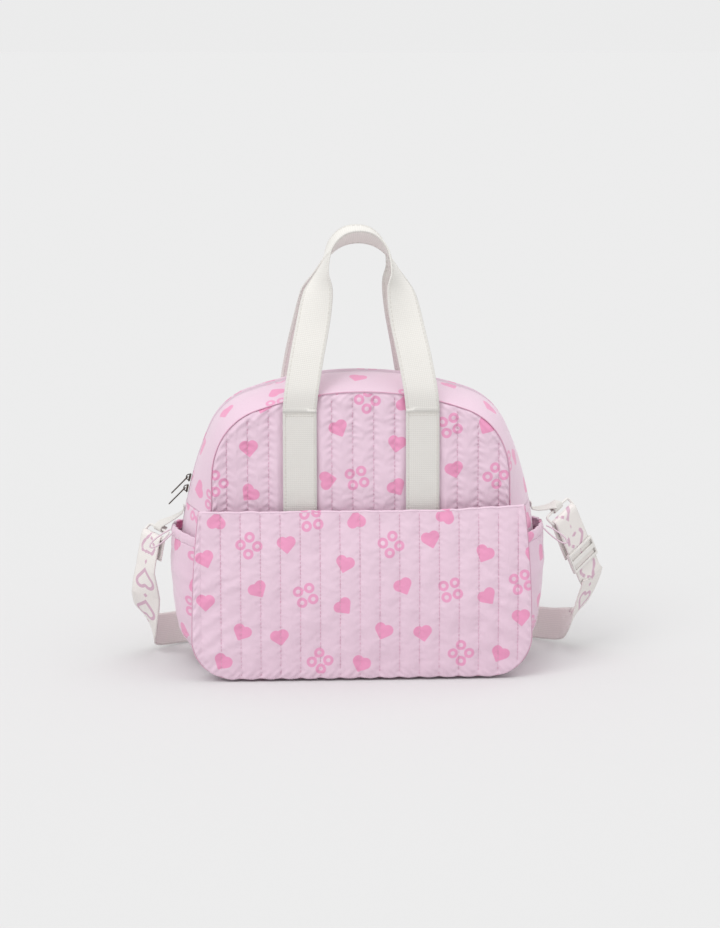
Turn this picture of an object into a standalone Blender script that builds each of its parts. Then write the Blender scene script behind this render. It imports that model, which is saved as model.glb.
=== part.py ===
"""Quilted diaper bag: domed body, front pocket, two side pockets, two webbing handles and a shoulder strap.

Origin at the centre of the base's underside, +Z up, the front pocket towards -Y. Metres.
"""

import math

import bmesh
import bpy
from mathutils import Matrix, Vector

# Body outline at mid depth, half of it, as tangent arcs
BODY_HEIGHT = 0.340
SIDE_RADIUS = 0.400
WIDEST_HALF = 0.205
WIDEST_Z = 0.115
CORNER_RADIUS = 0.055
SHOULDER_RADIUS = 0.075
SHOULDER_START = math.radians(24.0)

# Body depth
SEAM_Y = 0.070
SEAM_NARROWING = 0.140
SHOULDER_NARROWING = 0.060
SEAM_LOWERING = 0.045
PANEL_CROWN = 0.010
FABRIC = 0.0025
QUILT = 0.0030
LINING = 0.0010
GAP = 0.0004

# Zip
ZIP_END_Z = 0.190
ZIP_SPLIT_Z = 0.2240
TAPE_OUTER_Y = 0.0116
TAPE_INNER_Y = 0.0022
TEETH_Y = 0.0011
TEETH_RADIUS = 0.0007
SLIDER_A_Z = 0.2160
SLIDER_B_Z = 0.2035

# Front pocket
POCKET_TOP_Z = 0.186
POCKET_HALF = 0.192
POCKET_TOP_NARROWING = 0.008
POCKET_ROOT = 0.930
POCKET_TOP_DEPTH = 0.092
POCKET_DEPTH = 0.100
POCKET_CROWN = 0.009
POCKET_CORNER = 0.046

# Side pockets
SIDE_POCKET_TOP_Z = 0.150
SIDE_POCKET_SWELL = 0.0095

# Handles and strap
WEBBING = 0.038
WEBBING_THICK = 0.0020
LEG_X = 0.069
LEG_LOW_Z = 0.133
STITCH_Z = 0.3055
HANDLE_TOP_Z = 0.494
STRAP_THICK = 0.0016


def clear_scene():
    for obj in list(bpy.data.objects):
        bpy.data.objects.remove(obj, do_unlink=True)


def new_collection(name):
    made = bpy.data.collections.new(name)
    bpy.context.scene.collection.children.link(made)
    return made


def new_material(name, colour, roughness, metallic=0.0):
    made = bpy.data.materials.new(name)
    made.use_nodes = True
    shader = made.node_tree.nodes["Principled BSDF"]
    shader.inputs["Base Color"].default_value = (*colour, 1.0)
    shader.inputs["Roughness"].default_value = roughness
    shader.inputs["Metallic"].default_value = metallic
    return made


INSIDE = Vector((0.0, 0.0, 0.150))

LOOKS = {
    "printed": ((0.80, 0.60, 0.72), 0.6, 0.0),
    "lining": ((0.85, 0.76, 0.80), 0.7, 0.0),
    "webbing": ((0.78, 0.76, 0.72), 0.8, 0.0),
    "tape": ((0.78, 0.62, 0.70), 0.7, 0.0),
    "metal": ((0.08, 0.07, 0.07), 0.35, 1.0),
    "plastic": ((0.88, 0.87, 0.85), 0.4, 0.0),
    "board": ((0.60, 0.60, 0.60), 0.8, 0.0),
    "cord": ((0.80, 0.66, 0.72), 0.7, 0.0),
}


# ---------- building blocks ----------


def place(name, mesh, look):
    obj = bpy.data.objects.new(name, mesh)
    bag.objects.link(obj)
    obj.data.materials.append(new_material(name, *LOOKS[look]))
    return obj


def apply_modifiers(obj):
    graph = bpy.context.evaluated_depsgraph_get()
    mesh = bpy.data.meshes.new_from_object(obj.evaluated_get(graph))
    obj.modifiers.clear()
    if obj.type == "MESH":
        obj.data = mesh
        return obj
    return mesh


def loft(name, rows, thickness, look, side=-1.0):
    """A cloth piece lofted through rows of points, facing away from INSIDE. side -1 thickens inwards."""
    made = bmesh.new()
    grid = [[made.verts.new(point) for point in row] for row in rows]
    for low, high in zip(grid, grid[1:]):
        for i in range(len(low) - 1):
            made.faces.new((low[i], low[i + 1], high[i + 1], high[i]))
    bmesh.ops.remove_doubles(made, verts=made.verts, dist=1e-5)
    made.normal_update()
    facing = sum(f.normal.dot(f.calc_center_median() - INSIDE) * f.calc_area() for f in made.faces)
    if facing < 0:
        bmesh.ops.reverse_faces(made, faces=made.faces)
    mesh = bpy.data.meshes.new(name)
    made.to_mesh(mesh)
    made.free()
    obj = place(name, mesh, look)
    solid = obj.modifiers.new("thickness", "SOLIDIFY")
    solid.thickness = thickness
    solid.offset = side
    solid.use_even_offset = True
    return obj


def smooth_path(stations, steps):
    """Catmull-Rom through (point, across) stations: points with their across vectors, steps to a span."""
    out = []
    last = len(stations) - 1
    for i in range(last):
        four = [stations[max(i - 1, 0)], stations[i], stations[i + 1], stations[min(i + 2, last)]]
        for k in range(steps):
            t = k / steps
            weights = (
                -0.5 * t + t * t - 0.5 * t**3,
                1.0 - 2.5 * t * t + 1.5 * t**3,
                0.5 * t + 2.0 * t * t - 1.5 * t**3,
                -0.5 * t * t + 0.5 * t**3,
            )
            point = sum((Vector(s[0]) * w for s, w in zip(four, weights)), Vector())
            across = Vector(stations[i][1]).lerp(Vector(stations[i + 1][1]), t)
            out.append((point, across))
    out.append((Vector(stations[-1][0]), Vector(stations[-1][1])))
    return out


def webbing(name, path, width, thickness, look="webbing"):
    """A flat band along (point, across) pairs; across is squared to the path."""
    rows = []
    for i, (point, across) in enumerate(path):
        ahead = path[min(i + 1, len(path) - 1)][0] - path[max(i - 1, 0)][0]
        ahead.normalize()
        flat = (across - ahead * across.dot(ahead)).normalized()
        rows.append([point - flat * width / 2, point, point + flat * width / 2])
    return loft(name, rows, thickness, look, side=0.0)


def wire(name, points, radius, look, closed=False, keep=True):
    curve = bpy.data.curves.new(name, "CURVE")
    curve.dimensions = "3D"
    curve.bevel_depth = radius
    curve.bevel_resolution = 2
    curve.use_fill_caps = True
    spline = curve.splines.new("POLY")
    spline.points.add(len(points) - 1)
    for slot, point in zip(spline.points, points):
        slot.co = (*point, 1.0)
    spline.use_cyclic_u = closed
    if keep:
        return place(name, curve, look)
    obj = bpy.data.objects.new(name, curve)
    helpers.objects.link(obj)
    mesh = apply_modifiers(obj)
    bpy.data.objects.remove(obj)
    tool = bpy.data.objects.new(name, mesh)
    helpers.objects.link(tool)
    hide_tool(tool)
    return tool


def block(name, size, frame, look=None, bevel=0.0):
    """A box of this size in this frame, edges rounded by bevel."""
    made = bmesh.new()
    bmesh.ops.create_cube(made, size=1.0)
    bmesh.ops.scale(made, vec=size, verts=made.verts)
    if bevel:
        bmesh.ops.bevel(made, geom=made.edges[:], offset=bevel, segments=2, affect="EDGES")
    made.transform(frame)
    mesh = bpy.data.meshes.new(name)
    made.to_mesh(mesh)
    made.free()
    if look:
        return place(name, mesh, look)
    tool = bpy.data.objects.new(name, mesh)
    helpers.objects.link(tool)
    hide_tool(tool)
    return tool


def hide_tool(obj):
    obj.hide_render = True
    obj.display_type = "WIRE"


def boolean(obj, tool, operation):
    step = obj.modifiers.new(tool.name, "BOOLEAN")
    step.operation = operation
    step.solver = "EXACT"
    step.object = tool


def frame_at(origin, x_axis, y_axis):
    x_axis = Vector(x_axis).normalized()
    z_axis = x_axis.cross(Vector(y_axis)).normalized()
    y_axis = z_axis.cross(x_axis)
    turn = Matrix((x_axis, y_axis, z_axis)).transposed().to_4x4()
    return Matrix.Translation(origin) @ turn


def arc(centre, radius, start, end, steps):
    turns = [start + (end - start) * i / steps for i in range(steps + 1)]
    return [(centre[0] + radius * math.cos(a), centre[1] + radius * math.sin(a)) for a in turns]


# ---------- body outline ----------

SIDE_CENTRE = (WIDEST_HALF - SIDE_RADIUS, WIDEST_Z)
REACH = SIDE_RADIUS - CORNER_RADIUS
CORNER_DROP = WIDEST_Z - CORNER_RADIUS
CORNER_CENTRE = (SIDE_CENTRE[0] + math.sqrt(REACH**2 - CORNER_DROP**2), CORNER_RADIUS)
CORNER_END = -math.asin(CORNER_DROP / REACH)
SHOULDER_CENTRE = (
    SIDE_CENTRE[0] + (SIDE_RADIUS - SHOULDER_RADIUS) * math.cos(SHOULDER_START),
    SIDE_CENTRE[1] + (SIDE_RADIUS - SHOULDER_RADIUS) * math.sin(SHOULDER_START),
)
FALL = SHOULDER_CENTRE[1] - BODY_HEIGHT
TOP_RADIUS = (SHOULDER_RADIUS**2 - SHOULDER_CENTRE[0] ** 2 - FALL**2) / (2 * (FALL + SHOULDER_RADIUS))
TOP_CENTRE = (0.0, BODY_HEIGHT - TOP_RADIUS)
TOP_START = math.atan2(SHOULDER_CENTRE[1] - TOP_CENTRE[1], SHOULDER_CENTRE[0])
SLIT = 0.0003 / SIDE_RADIUS


def side_angle(z):
    return math.asin((z - WIDEST_Z) / SIDE_RADIUS)


def side_half(inset=0.0, top_z=ZIP_END_Z, bottom=-math.pi / 2):
    """Right side of the outline, from the base up to top_z."""
    corner = arc(CORNER_CENTRE, CORNER_RADIUS - inset, bottom, CORNER_END, 5)
    side = arc(SIDE_CENTRE, SIDE_RADIUS - inset, CORNER_END, side_angle(top_z) - SLIT, 6)
    return corner + side[1:]


def top_half(inset=0.0):
    """Right side of the outline, from the zip's end up to the middle of the top."""
    side = arc(SIDE_CENTRE, SIDE_RADIUS - inset, side_angle(ZIP_END_Z) + SLIT, SHOULDER_START, 3)
    shoulder = arc(SHOULDER_CENTRE, SHOULDER_RADIUS - inset, SHOULDER_START, TOP_START, 6)
    top = arc(TOP_CENTRE, TOP_RADIUS - inset, TOP_START, math.pi / 2, 5)
    return side + shoulder[1:] + top[1:]


def mirrored(half):
    """From the right half to the whole: right to left."""
    return half + [(-x, z) for x, z in reversed(half[:-1])]


def at_depth(points, y):
    """The outline as it stands at depth y: narrower and lower towards the seams, less so at the shoulders."""
    away = (y / SEAM_Y) ** 2
    made = []
    for x, z in points:
        rise = min(1.0, max(0.0, (z - ZIP_END_Z) / 0.085))
        narrowing = SEAM_NARROWING + (SHOULDER_NARROWING - SEAM_NARROWING) * rise * rise * (3 - 2 * rise)
        made.append(Vector((x * (1 - narrowing * away), y, z * (1 - SEAM_LOWERING * away))))
    return made


def spread(start, end, steps):
    return [start + (end - start) * i / steps for i in range(steps + 1)]


# ---------- gussets, base, panels ----------


def crown(x, z):
    across = max(0.0, 1 - (x / 0.180) ** 2)
    up = max(0.0, 1 - ((z - 0.160) / 0.165) ** 2)
    return PANEL_CROWN * across * up


def panel_rows(edge, start_y, facing, bulge, steps=6):
    """Rows from the straight fold across the panel out to its outline."""
    rim = [(x, z) for x, _, z in edge]
    (x0, z0), (x1, z1) = rim[0], rim[-1]
    lengths = [0.0]
    for a, b in zip(rim, rim[1:]):
        lengths.append(lengths[-1] + math.dist(a, b))
    rows = []
    for v in spread(0.0, 1.0, steps):
        row = []
        for (x, z), run in zip(rim, lengths):
            u = run / lengths[-1]
            px = (x0 + (x1 - x0) * u) * (1 - v) + x * v
            pz = (z0 + (z1 - z0) * u) * (1 - v) + z * v
            row.append(Vector((px, facing * (start_y + bulge(px, pz)), pz)))
        rows.append(row)
    return rows


EDGE_INSET = FABRIC + 0.0012
FOLD_Z = ZIP_END_Z * (1 - SEAM_LOWERING)


def upper_edge(inset, y):
    return at_depth(mirrored(top_half(inset)), y)


def lower_edge(inset, y):
    """Left to right below the fold."""
    half = side_half(inset)
    whole = [(-x, z) for x, z in reversed(half)] + half
    return at_depth(whole, y)


def split_panel(name, y, facing, inset, thickness, look):
    """Front panel above and below the fold."""
    for part, edge in (("upper", upper_edge(inset, y)), ("lower", lower_edge(inset, y))):
        loft(f"{name}_{part}", panel_rows(edge, y, facing, crown), thickness, look)


def full_panel(name, y, facing, inset, thickness, look):
    """One dome from the base to the top of the outline: rows across it, bottom to top."""
    half = side_half(inset) + top_half(inset)[1:]
    right = at_depth(half, y)
    rows = []
    for point in right[:-1]:
        row = []
        for u in spread(-1.0, 1.0, 12):
            x = point.x * u
            row.append(Vector((x, facing * (y + crown(x, point.z)), point.z)))
        rows.append(row)
    return loft(name, rows, thickness, look)


def gusset(name, outline, depths, thickness, look, inset=0.0):
    rows = [at_depth(outline, y) for y in depths]
    return loft(name, rows, thickness, look)


def flip_sides(points):
    return [(-x, z) for x, z in reversed(points)]


def build_body():
    side = side_half()
    depths = spread(-SEAM_Y, SEAM_Y, 8)
    gusset("side_gusset_right", side, depths, FABRIC, "printed")
    gusset("side_gusset_left", flip_sides(side), depths, FABRIC, "printed")
    base_half = CORNER_CENTRE[0] - 2 * GAP
    base = [(x, 0.0) for x in spread(-base_half, base_half, 6)]
    gusset("base_panel", base, depths, FABRIC, "printed")
    top = mirrored(top_half())
    gusset("zip_gusset_front", top, spread(-SEAM_Y, -TAPE_OUTER_Y - GAP, 4), FABRIC, "printed")
    gusset("zip_gusset_rear", top, spread(TAPE_OUTER_Y + GAP, SEAM_Y, 4), FABRIC, "printed")
    split_panel("front_panel", SEAM_Y, -1, EDGE_INSET, QUILT, "printed")
    full_panel("back_panel", SEAM_Y, 1, EDGE_INSET, QUILT, "printed")


def left_run(inset):
    """The left side of the zip from its end up to where its front half may open."""
    low = side_angle(ZIP_END_Z) + SLIT
    high = side_angle(ZIP_SPLIT_Z) - SLIT
    return flip_sides(arc(SIDE_CENTRE, SIDE_RADIUS - inset, low, high, 2))


def opening_run(inset):
    """The rest of the zip: from the right end over the top to the split."""
    right = top_half(inset)
    start = side_angle(ZIP_SPLIT_Z) + SLIT
    left = arc(SIDE_CENTRE, SIDE_RADIUS - inset, start, SHOULDER_START, 3) + right[4:]
    return right + flip_sides(left)[1:]


def build_zip():
    sink = 0.0008
    tape = mirrored(top_half(sink))
    front = spread(-TAPE_OUTER_Y, -TAPE_INNER_Y, 1)
    gusset("zip_tape_front", opening_run(sink), front, 0.0010, "tape")
    gusset("zip_tape_front_end", left_run(sink), front, 0.0010, "tape")
    gusset("zip_tape_rear", tape, spread(TAPE_INNER_Y, TAPE_OUTER_Y, 1), 0.0010, "tape")
    sink = 0.0014
    for name, y, run in (
        ("zip_teeth_front", -TEETH_Y, opening_run(sink)),
        ("zip_teeth_front_end", -TEETH_Y, left_run(sink)),
        ("zip_teeth_rear", TEETH_Y, mirrored(top_half(sink))),
    ):
        wire(name, [(x, y, z) for x, z in run], TEETH_RADIUS, "tape")
    build_slider("a", SLIDER_A_Z)
    build_slider("b", SLIDER_B_Z)


SLIDER_LENGTH = 0.0090
SLIDER_HEIGHT = 0.0024
PULL_LENGTH = 0.027
PULL_DROP = math.radians(45.0)


def slider_frame(z):
    """At height z on the left run of the zip: outward, and up along the zip."""
    a = side_angle(z)
    at = Vector((-SIDE_CENTRE[0] - SIDE_RADIUS * math.cos(a), 0.0, z))
    out = Vector((-math.cos(a), 0.0, math.sin(a)))
    up = Vector((math.sin(a), 0.0, math.cos(a)))
    return at, out, up


def build_slider(letter, z):
    at, out, up = slider_frame(z)
    middle = at + out * (SLIDER_HEIGHT / 2 + 0.0002)
    body = block(
        "zip_slider_" + letter,
        (SLIDER_LENGTH, 0.0076, SLIDER_HEIGHT),
        frame_at(middle, up, (0, 1, 0)),
        "metal",
        bevel=0.0007,
    )
    deck = at + out * (SLIDER_HEIGHT + 0.0002)
    loop = []
    for turn in spread(0.0, math.pi, 8):
        loop.append(deck + up * (0.0034 * math.cos(turn)) + out * (0.0034 * math.sin(turn) - 0.0005))
    bridge = wire("zip_bridge_" + letter, loop, 0.0006, "metal", keep=False)
    boolean(body, bridge, "UNION")
    build_pull(letter, deck + out * 0.0012)


def build_pull(letter, pin):
    """A wire loop through the slider's bridge, closing on a flat bar."""
    hang = Vector((-math.sin(PULL_DROP), 0.0, -math.cos(PULL_DROP)))
    wide = Vector((0.0, 1.0, 0.0))
    corners = ((1, 0.0014, -90), (1, 0.0060, 0), (-1, 0.0060, 90), (-1, 0.0014, 180))
    points = []
    for sign, down, first in corners:
        for step in range(4):
            a = math.radians(first + 30 * step)
            out = sign * 0.0012 + 0.0014 * math.cos(a)
            points.append(pin + wide * out + hang * (down + 0.0014 * math.sin(a)))
    ring = wire("zip_ring_" + letter, points, 0.00055, "metal", closed=True, keep=False)
    bar = pin + hang * (0.0070 + (PULL_LENGTH - 0.0070) / 2)
    body = block(
        "zip_pull_" + letter,
        (PULL_LENGTH - 0.0070, 0.0034, 0.0013),
        frame_at(bar, hang, (0, 1, 0)),
        "metal",
        bevel=0.0004,
    )
    boolean(body, ring, "UNION")


# ---------- lining and inside ----------


def build_inside():
    inner = FABRIC + 0.0016
    depths = spread(-SEAM_Y + 0.0062, SEAM_Y - 0.0062, 6)
    side = side_half(inner + 0.001)
    gusset("lining_side_right", side, depths, LINING, "lining")
    gusset("lining_side_left", flip_sides(side), depths, LINING, "lining")
    lining_y = SEAM_Y - QUILT - 0.0014
    edge = inner + 0.0052
    split_panel("lining_front", lining_y, -1, edge, LINING, "lining")
    full_panel("lining_back", lining_y, 1, edge, LINING, "lining")
    block(
        "base_board",
        (0.236, 0.108, 0.0020),
        Matrix.Translation((0.0, 0.0, 0.0052)),
        "board",
        bevel=0.0007,
    )
    pocket_y = lining_y - LINING - 0.0010
    rows = []
    for z in spread(0.075, 0.190, 6):
        swell = 0.009 * math.sin(math.pi * (z - 0.075) / 0.200)
        half = 0.105
        rows.append(
            [
                Vector((x, pocket_y + crown(x, z) - swell * (1 - (x / half) ** 2), z))
                for x in spread(-half, half, 8)
            ]
        )
    loft("inner_pocket", rows, 0.0012, "lining")


# ---------- front pocket ----------


def pocket_outline(inset=0.0):
    """The pocket's U, from the top left corner down and round to the top right."""
    r = POCKET_CORNER
    half = POCKET_HALF - inset
    low = 0.0035 + inset
    levels = spread(POCKET_TOP_Z, low + r, 6)
    left = [(-half + POCKET_TOP_NARROWING * (z / POCKET_TOP_Z) ** 3, z) for z in levels]
    corner = arc((-half + r, low + r), r, math.pi, 1.5 * math.pi, 5)
    floor = [(x, low) for x in spread(-half + r, half - r, 6)]
    right = [(-x, z) for x, z in reversed(left[:-1] + corner)]
    return left[:-1] + corner + floor[1:-1] + right


def pocket_crown(x, z):
    across = max(0.0, 1 - (x / (POCKET_HALF + 0.004)) ** 2)
    up = math.sin(math.pi * min(1.0, max(0.0, (z + 0.02) / 0.235)))
    return pocket_face(z) - POCKET_TOP_DEPTH + POCKET_CROWN * math.sqrt(across) * up


def pocket_face(z):
    """The face's depth at its seam: deeper towards the base."""
    return POCKET_TOP_DEPTH + (POCKET_DEPTH - POCKET_TOP_DEPTH) * (1 - (z / POCKET_TOP_Z) ** 2)


def build_pocket():
    rim = [Vector((x, 0.0, z)) for x, z in pocket_outline(0.0026)]
    rows = panel_rows(rim, POCKET_TOP_DEPTH, -1, pocket_crown)
    loft("pocket_panel", rows, QUILT, "printed")
    outline = pocket_outline()
    rows = []
    for share, widen in ((0.0, POCKET_ROOT), (0.5, 0.978), (1.0, 1.0)):
        row = []
        for x, z in outline:
            row.append(Vector((x * widen, -SEAM_Y - 0.0008 - (pocket_face(z) - SEAM_Y) * share, z)))
        rows.append(row)
    loft("pocket_gusset", rows, 0.0016, "printed")
    top = []
    reach = POCKET_HALF - POCKET_TOP_NARROWING - 0.006
    for x in spread(-reach, reach, 16):
        y = -POCKET_TOP_DEPTH - pocket_crown(x, POCKET_TOP_Z) + QUILT / 2
        top.append((Vector((x, y, POCKET_TOP_Z + 0.0042)), Vector((0, 1, 0))))
    webbing("pocket_binding", top, 0.0050, 0.0070, "printed")


# ---------- side pockets ----------


def build_side_pockets():
    low = math.radians(-52.0)
    high = side_angle(SIDE_POCKET_TOP_Z)
    turns = spread(low, CORNER_END, 4)[:-1] + spread(CORNER_END, high, 4)
    for name, sign in (("left", -1), ("right", 1)):
        rows = []
        for y in spread(-0.060, 0.060, 8):
            rows.append(side_line(sign, y, turns, 0.0))
        body = loft("side_pocket_" + name, rows, 0.0014, "printed", side=1.0)
        hem_turns = spread(high + 0.0012, high + 0.0012 + 0.011 / SIDE_RADIUS, 2)
        rows = []
        for y in spread(-0.060, 0.060, 8):
            rows.append(side_line(sign, y, hem_turns, -0.0004))
        loft("side_pocket_hem_" + name, rows, 0.0028, "printed", side=1.0)


def side_line(sign, y, turns, extra):
    """One depth's line up the side pocket."""
    ease = 1 - (y / 0.064) ** 4
    line = []
    for a in turns:
        low = a < CORNER_END - 1e-6
        centre, radius = (CORNER_CENTRE, CORNER_RADIUS) if low else (SIDE_CENTRE, SIDE_RADIUS)
        rise = min(1.0, (a - turns[0]) / 0.9) if len(turns) > 4 else 1.0
        out = 0.0010 + SIDE_POCKET_SWELL * ease * rise**0.7 + extra
        line.append((centre[0] + (radius + out) * math.cos(a), centre[1] + (radius + out) * math.sin(a)))
    return [Vector((sign * p.x, p.y, p.z)) for p in at_depth(line, y)]


def build_drawcords():
    for name, sign in (("left", -1), ("right", 1)):
        root = Vector((sign * 0.2140, -0.0300, 0.160))
        tip = Vector((sign * 0.2390, -0.0340, 0.142))
        spine = tip - root
        wide = Vector((0.0, 0.35, 0.0)).cross(spine).normalized()
        points = []
        for t in spread(0.0, 1.0, 16):
            turn = 2 * math.pi * t
            reach = 0.5 - 0.5 * math.cos(turn)
            bow = 0.0046 * math.sin(turn) * (0.35 + 0.65 * reach)
            feet = 0.0018 * (1 if t < 0.5 else -1) * (1 - reach)
            points.append(root + spine * reach + wide * (bow + feet))
        wire("drawcord_" + name, points, 0.0009, "cord")


# ---------- handles ----------


def build_handles():
    for facing, name in ((-1, "front"), (1, "rear")):
        stations = handle_stations(facing)
        path = smooth_path(stations, 4)
        webbing("handle_" + name, path, WEBBING, WEBBING_THICK)
        for side, sign in (("left", -1), ("right", 1)):
            if facing < 0:
                leg(f"handle_leg_front_{side}_lower", facing, sign, LEG_LOW_Z, FOLD_Z - GAP)
                leg(f"handle_leg_front_{side}_upper", facing, sign, FOLD_Z + GAP, STITCH_Z)
            else:
                leg(f"handle_leg_rear_{side}", facing, sign, 0.030, STITCH_Z)


def leg(name, facing, sign, low, high):
    """A sewn strip lying on the panel."""
    rows = []
    for z in spread(low, high, max(2, round((high - low) / 0.025))):
        row = []
        for x in spread(sign * LEG_X - WEBBING / 2, sign * LEG_X + WEBBING / 2, 4):
            row.append(Vector((x, facing * (SEAM_Y + crown(x, z) + 0.0006), z)))
        rows.append(row)
    loft(name, rows, WEBBING_THICK, "webbing", side=1.0)


def handle_stations(facing):
    """Left foot to right foot, (point, across): legs face the front, the arch lies along the depth."""
    foot_y = SEAM_Y + crown(LEG_X, STITCH_Z) + 0.0006 + WEBBING_THICK / 2
    half = [
        ((-LEG_X, foot_y, STITCH_Z + 0.0028), (1.0, 0.0, 0.0)),
        ((-0.0665, foot_y + 0.001, 0.328), (1.0, 0.0, 0.05)),
        ((-0.0605, foot_y - 0.010, 0.362), (1.0, 0.0, 0.08)),
        ((-0.0530, 0.0480, 0.398), (0.98, -0.1, 0.10)),
        ((-0.0470, 0.0370, 0.431), (0.85, -0.45, 0.10)),
        ((-0.0430, 0.0300, 0.452), (0.35, -0.90, 0.15)),
        ((-0.0330, 0.0235, 0.475), (0.05, -0.92, 0.30)),
        ((-0.0180, 0.0215, 0.4895), (0.0, -0.90, 0.42)),
    ]
    top = ((0.0, 0.0215, HANDLE_TOP_Z), (0.0, -0.90, 0.44))
    # Across vectors above are written for the front handle, whose outer side is -Y
    whole = half + [top] + [((-p[0], p[1], p[2]), (-w[0], w[1], w[2])) for p, w in reversed(half)]
    return [((p[0], facing * p[1], p[2]), (w[0], -facing * w[1], w[2])) for p, w in whole]


# ---------- strap ----------

RING_BAR = 0.0016
TAB_Z = 0.176
# Each ring's lower bar: its middle, its direction, the way the strap leaves and the way the ring hangs
RINGS = {
    "left": ((-0.2362, 0.004, 0.1480), (0.55, -0.83, -0.10), (-0.16, 0.0, -0.98), (-0.80, 0.0, -0.60)),
    "right": ((0.2390, 0.000, 0.1680), (0.62, 0.55, 0.42), (0.22, 0.10, -0.96), (0.85, 0.0, -0.53)),
}


def squared(vector, along):
    vector = Vector(vector)
    return (vector - along * vector.dot(along)).normalized()


def ring_axes(side):
    """The lower bar's middle and direction, the strap's way down and the ring's own."""
    bar, along, strap_way, ring_way = RINGS[side]
    along = Vector(along).normalized()
    return Vector(bar), along, squared(strap_way, along), squared(ring_way, along)


def build_rings():
    for side, sign in (("left", -1), ("right", 1)):
        bar, along, _, down = ring_axes(side)
        half = WEBBING / 2 + 0.0016
        tall = 0.011
        r = 0.0028
        points = []
        corners = ((1, 0.0, -90), (1, tall, 0), (-1, tall, 90), (-1, 0.0, 180))
        for way, up, first in corners:
            for step in range(4):
                a = math.radians(first + 30 * step)
                up_at = up + (r if up == 0.0 else -r)
                out = way * (half - r) + r * math.cos(a)
                points.append(bar + along * out - down * (up_at + r * math.sin(a)))
        wire("strap_ring_" + side, points, RING_BAR, "plastic", closed=True)
        build_ring_tab(side, sign, bar - down * tall, along, down)


def build_ring_tab(side, sign, upper, along, down):
    """A doubled band sewn to the bag's side, round the ring's upper bar."""
    a = side_angle(TAB_Z)
    seat = Vector((sign * (SIDE_CENTRE[0] + (SIDE_RADIUS + 0.0018) * math.cos(a)), 0.0, TAB_Z))
    top = Vector((seat.x - sign * 0.0014, 0.0, TAB_Z + 0.008))
    flat = Vector((0.0, 1.0, 0.0))
    turn = along if along.y > 0 else -along
    out = down.cross(turn)
    out = out if out.x * sign > 0 else -out
    r = RING_BAR + 0.0013
    slant = math.sqrt(0.5)
    half_way = flat.lerp(turn, 0.5)
    stations = [
        (top, flat),
        (seat, flat),
        (seat.lerp(upper, 0.5) + out * 0.0012, half_way),
        (upper - down * 0.0040 + out * r, turn),
        (upper + out * r, turn),
        (upper + down * r * slant + out * r * slant, turn),
        (upper + down * r, turn),
        (upper + down * r * slant - out * r * slant, turn),
        (upper - out * r, turn),
        (upper - down * 0.0060 - out * r, turn),
    ]
    webbing("ring_tab_" + side, smooth_path(stations, 2), 0.014, 0.0012)


SLIDER_DOWN = 0.056


def build_strap():
    bar_r, along_r, down_r, _ = ring_axes("right")
    bar_l, along_l, down_l, _ = ring_axes("left")
    front_r = along_r.cross(down_r).normalized()
    if front_r.y > 0:
        front_r = -front_r
    front_l = along_l.cross(down_l).normalized()
    if front_l.y > 0:
        front_l = -front_l
    r = RING_BAR + 0.0018
    wide_r = along_r
    slide = bar_r + down_r * SLIDER_DOWN
    stations = [
        (slide - down_r * 0.004 - front_r * 0.0052, wide_r),
        (slide - down_r * 0.020 - front_r * 0.0050, wide_r),
        (bar_r + down_r * 0.008 - front_r * r * 1.1, wide_r),
        (bar_r - front_r * r, wide_r),
        (bar_r - down_r * r * 0.7 - front_r * r * 0.7, wide_r),
        (bar_r - down_r * r, wide_r),
        (bar_r - down_r * r * 0.7 + front_r * r * 0.7, wide_r),
        (bar_r + front_r * r, wide_r),
        (bar_r + down_r * 0.012 + front_r * r, wide_r),
        (slide - down_r * 0.036 + front_r * r, wide_r),
        (slide - down_r * 0.027 + front_r * r, wide_r),
        (slide + front_r * r, wide_r),
        (slide + down_r * 0.027 + front_r * r, wide_r),
        (slide + down_r * 0.034 + front_r * r, wide_r),
        (Vector((0.2570, 0.028, 0.040)), (0.55, 0.35, 0.80)),
        (Vector((0.2440, 0.058, 0.0245)), (0.12, 0.25, 1.0)),
        (Vector((0.2130, 0.090, 0.0195)), (0.0, 0.36, 0.93)),
        (Vector((0.1500, 0.110, 0.0190)), (0.0, 0.42, 0.91)),
        (Vector((0.0500, 0.119, 0.0190)), (0.0, 0.42, 0.91)),
        (Vector((-0.0500, 0.119, 0.0190)), (0.0, 0.42, 0.91)),
        (Vector((-0.1500, 0.110, 0.0190)), (0.0, 0.42, 0.91)),
        (Vector((-0.2070, 0.087, 0.0195)), (0.0, 0.36, 0.93)),
        (Vector((-0.2360, 0.055, 0.0250)), (-0.12, 0.25, 1.0)),
        (Vector((-0.2450, 0.028, 0.046)), (-0.60, 0.35, 0.70)),
        (Vector((-0.2460, 0.010, 0.076)), (-0.85, 0.45, 0.25)),
        (bar_l + down_l * 0.040 + front_l * r, -along_l),
        (bar_l + down_l * 0.012 + front_l * r, -along_l),
        (bar_l + front_l * r, -along_l),
        (bar_l - down_l * r * 0.7 + front_l * r * 0.7, -along_l),
        (bar_l - down_l * r, -along_l),
        (bar_l - down_l * r * 0.7 - front_l * r * 0.7, -along_l),
        (bar_l - front_l * r, -along_l),
        (bar_l + down_l * 0.010 - front_l * r, -along_l),
        (bar_l + down_l * 0.026 - front_l * r * 0.9, -along_l),
    ]
    webbing("strap", smooth_path(stations, 2), WEBBING, STRAP_THICK)
    build_strap_slider(slide + front_r * r, wide_r, down_r, front_r)


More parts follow.
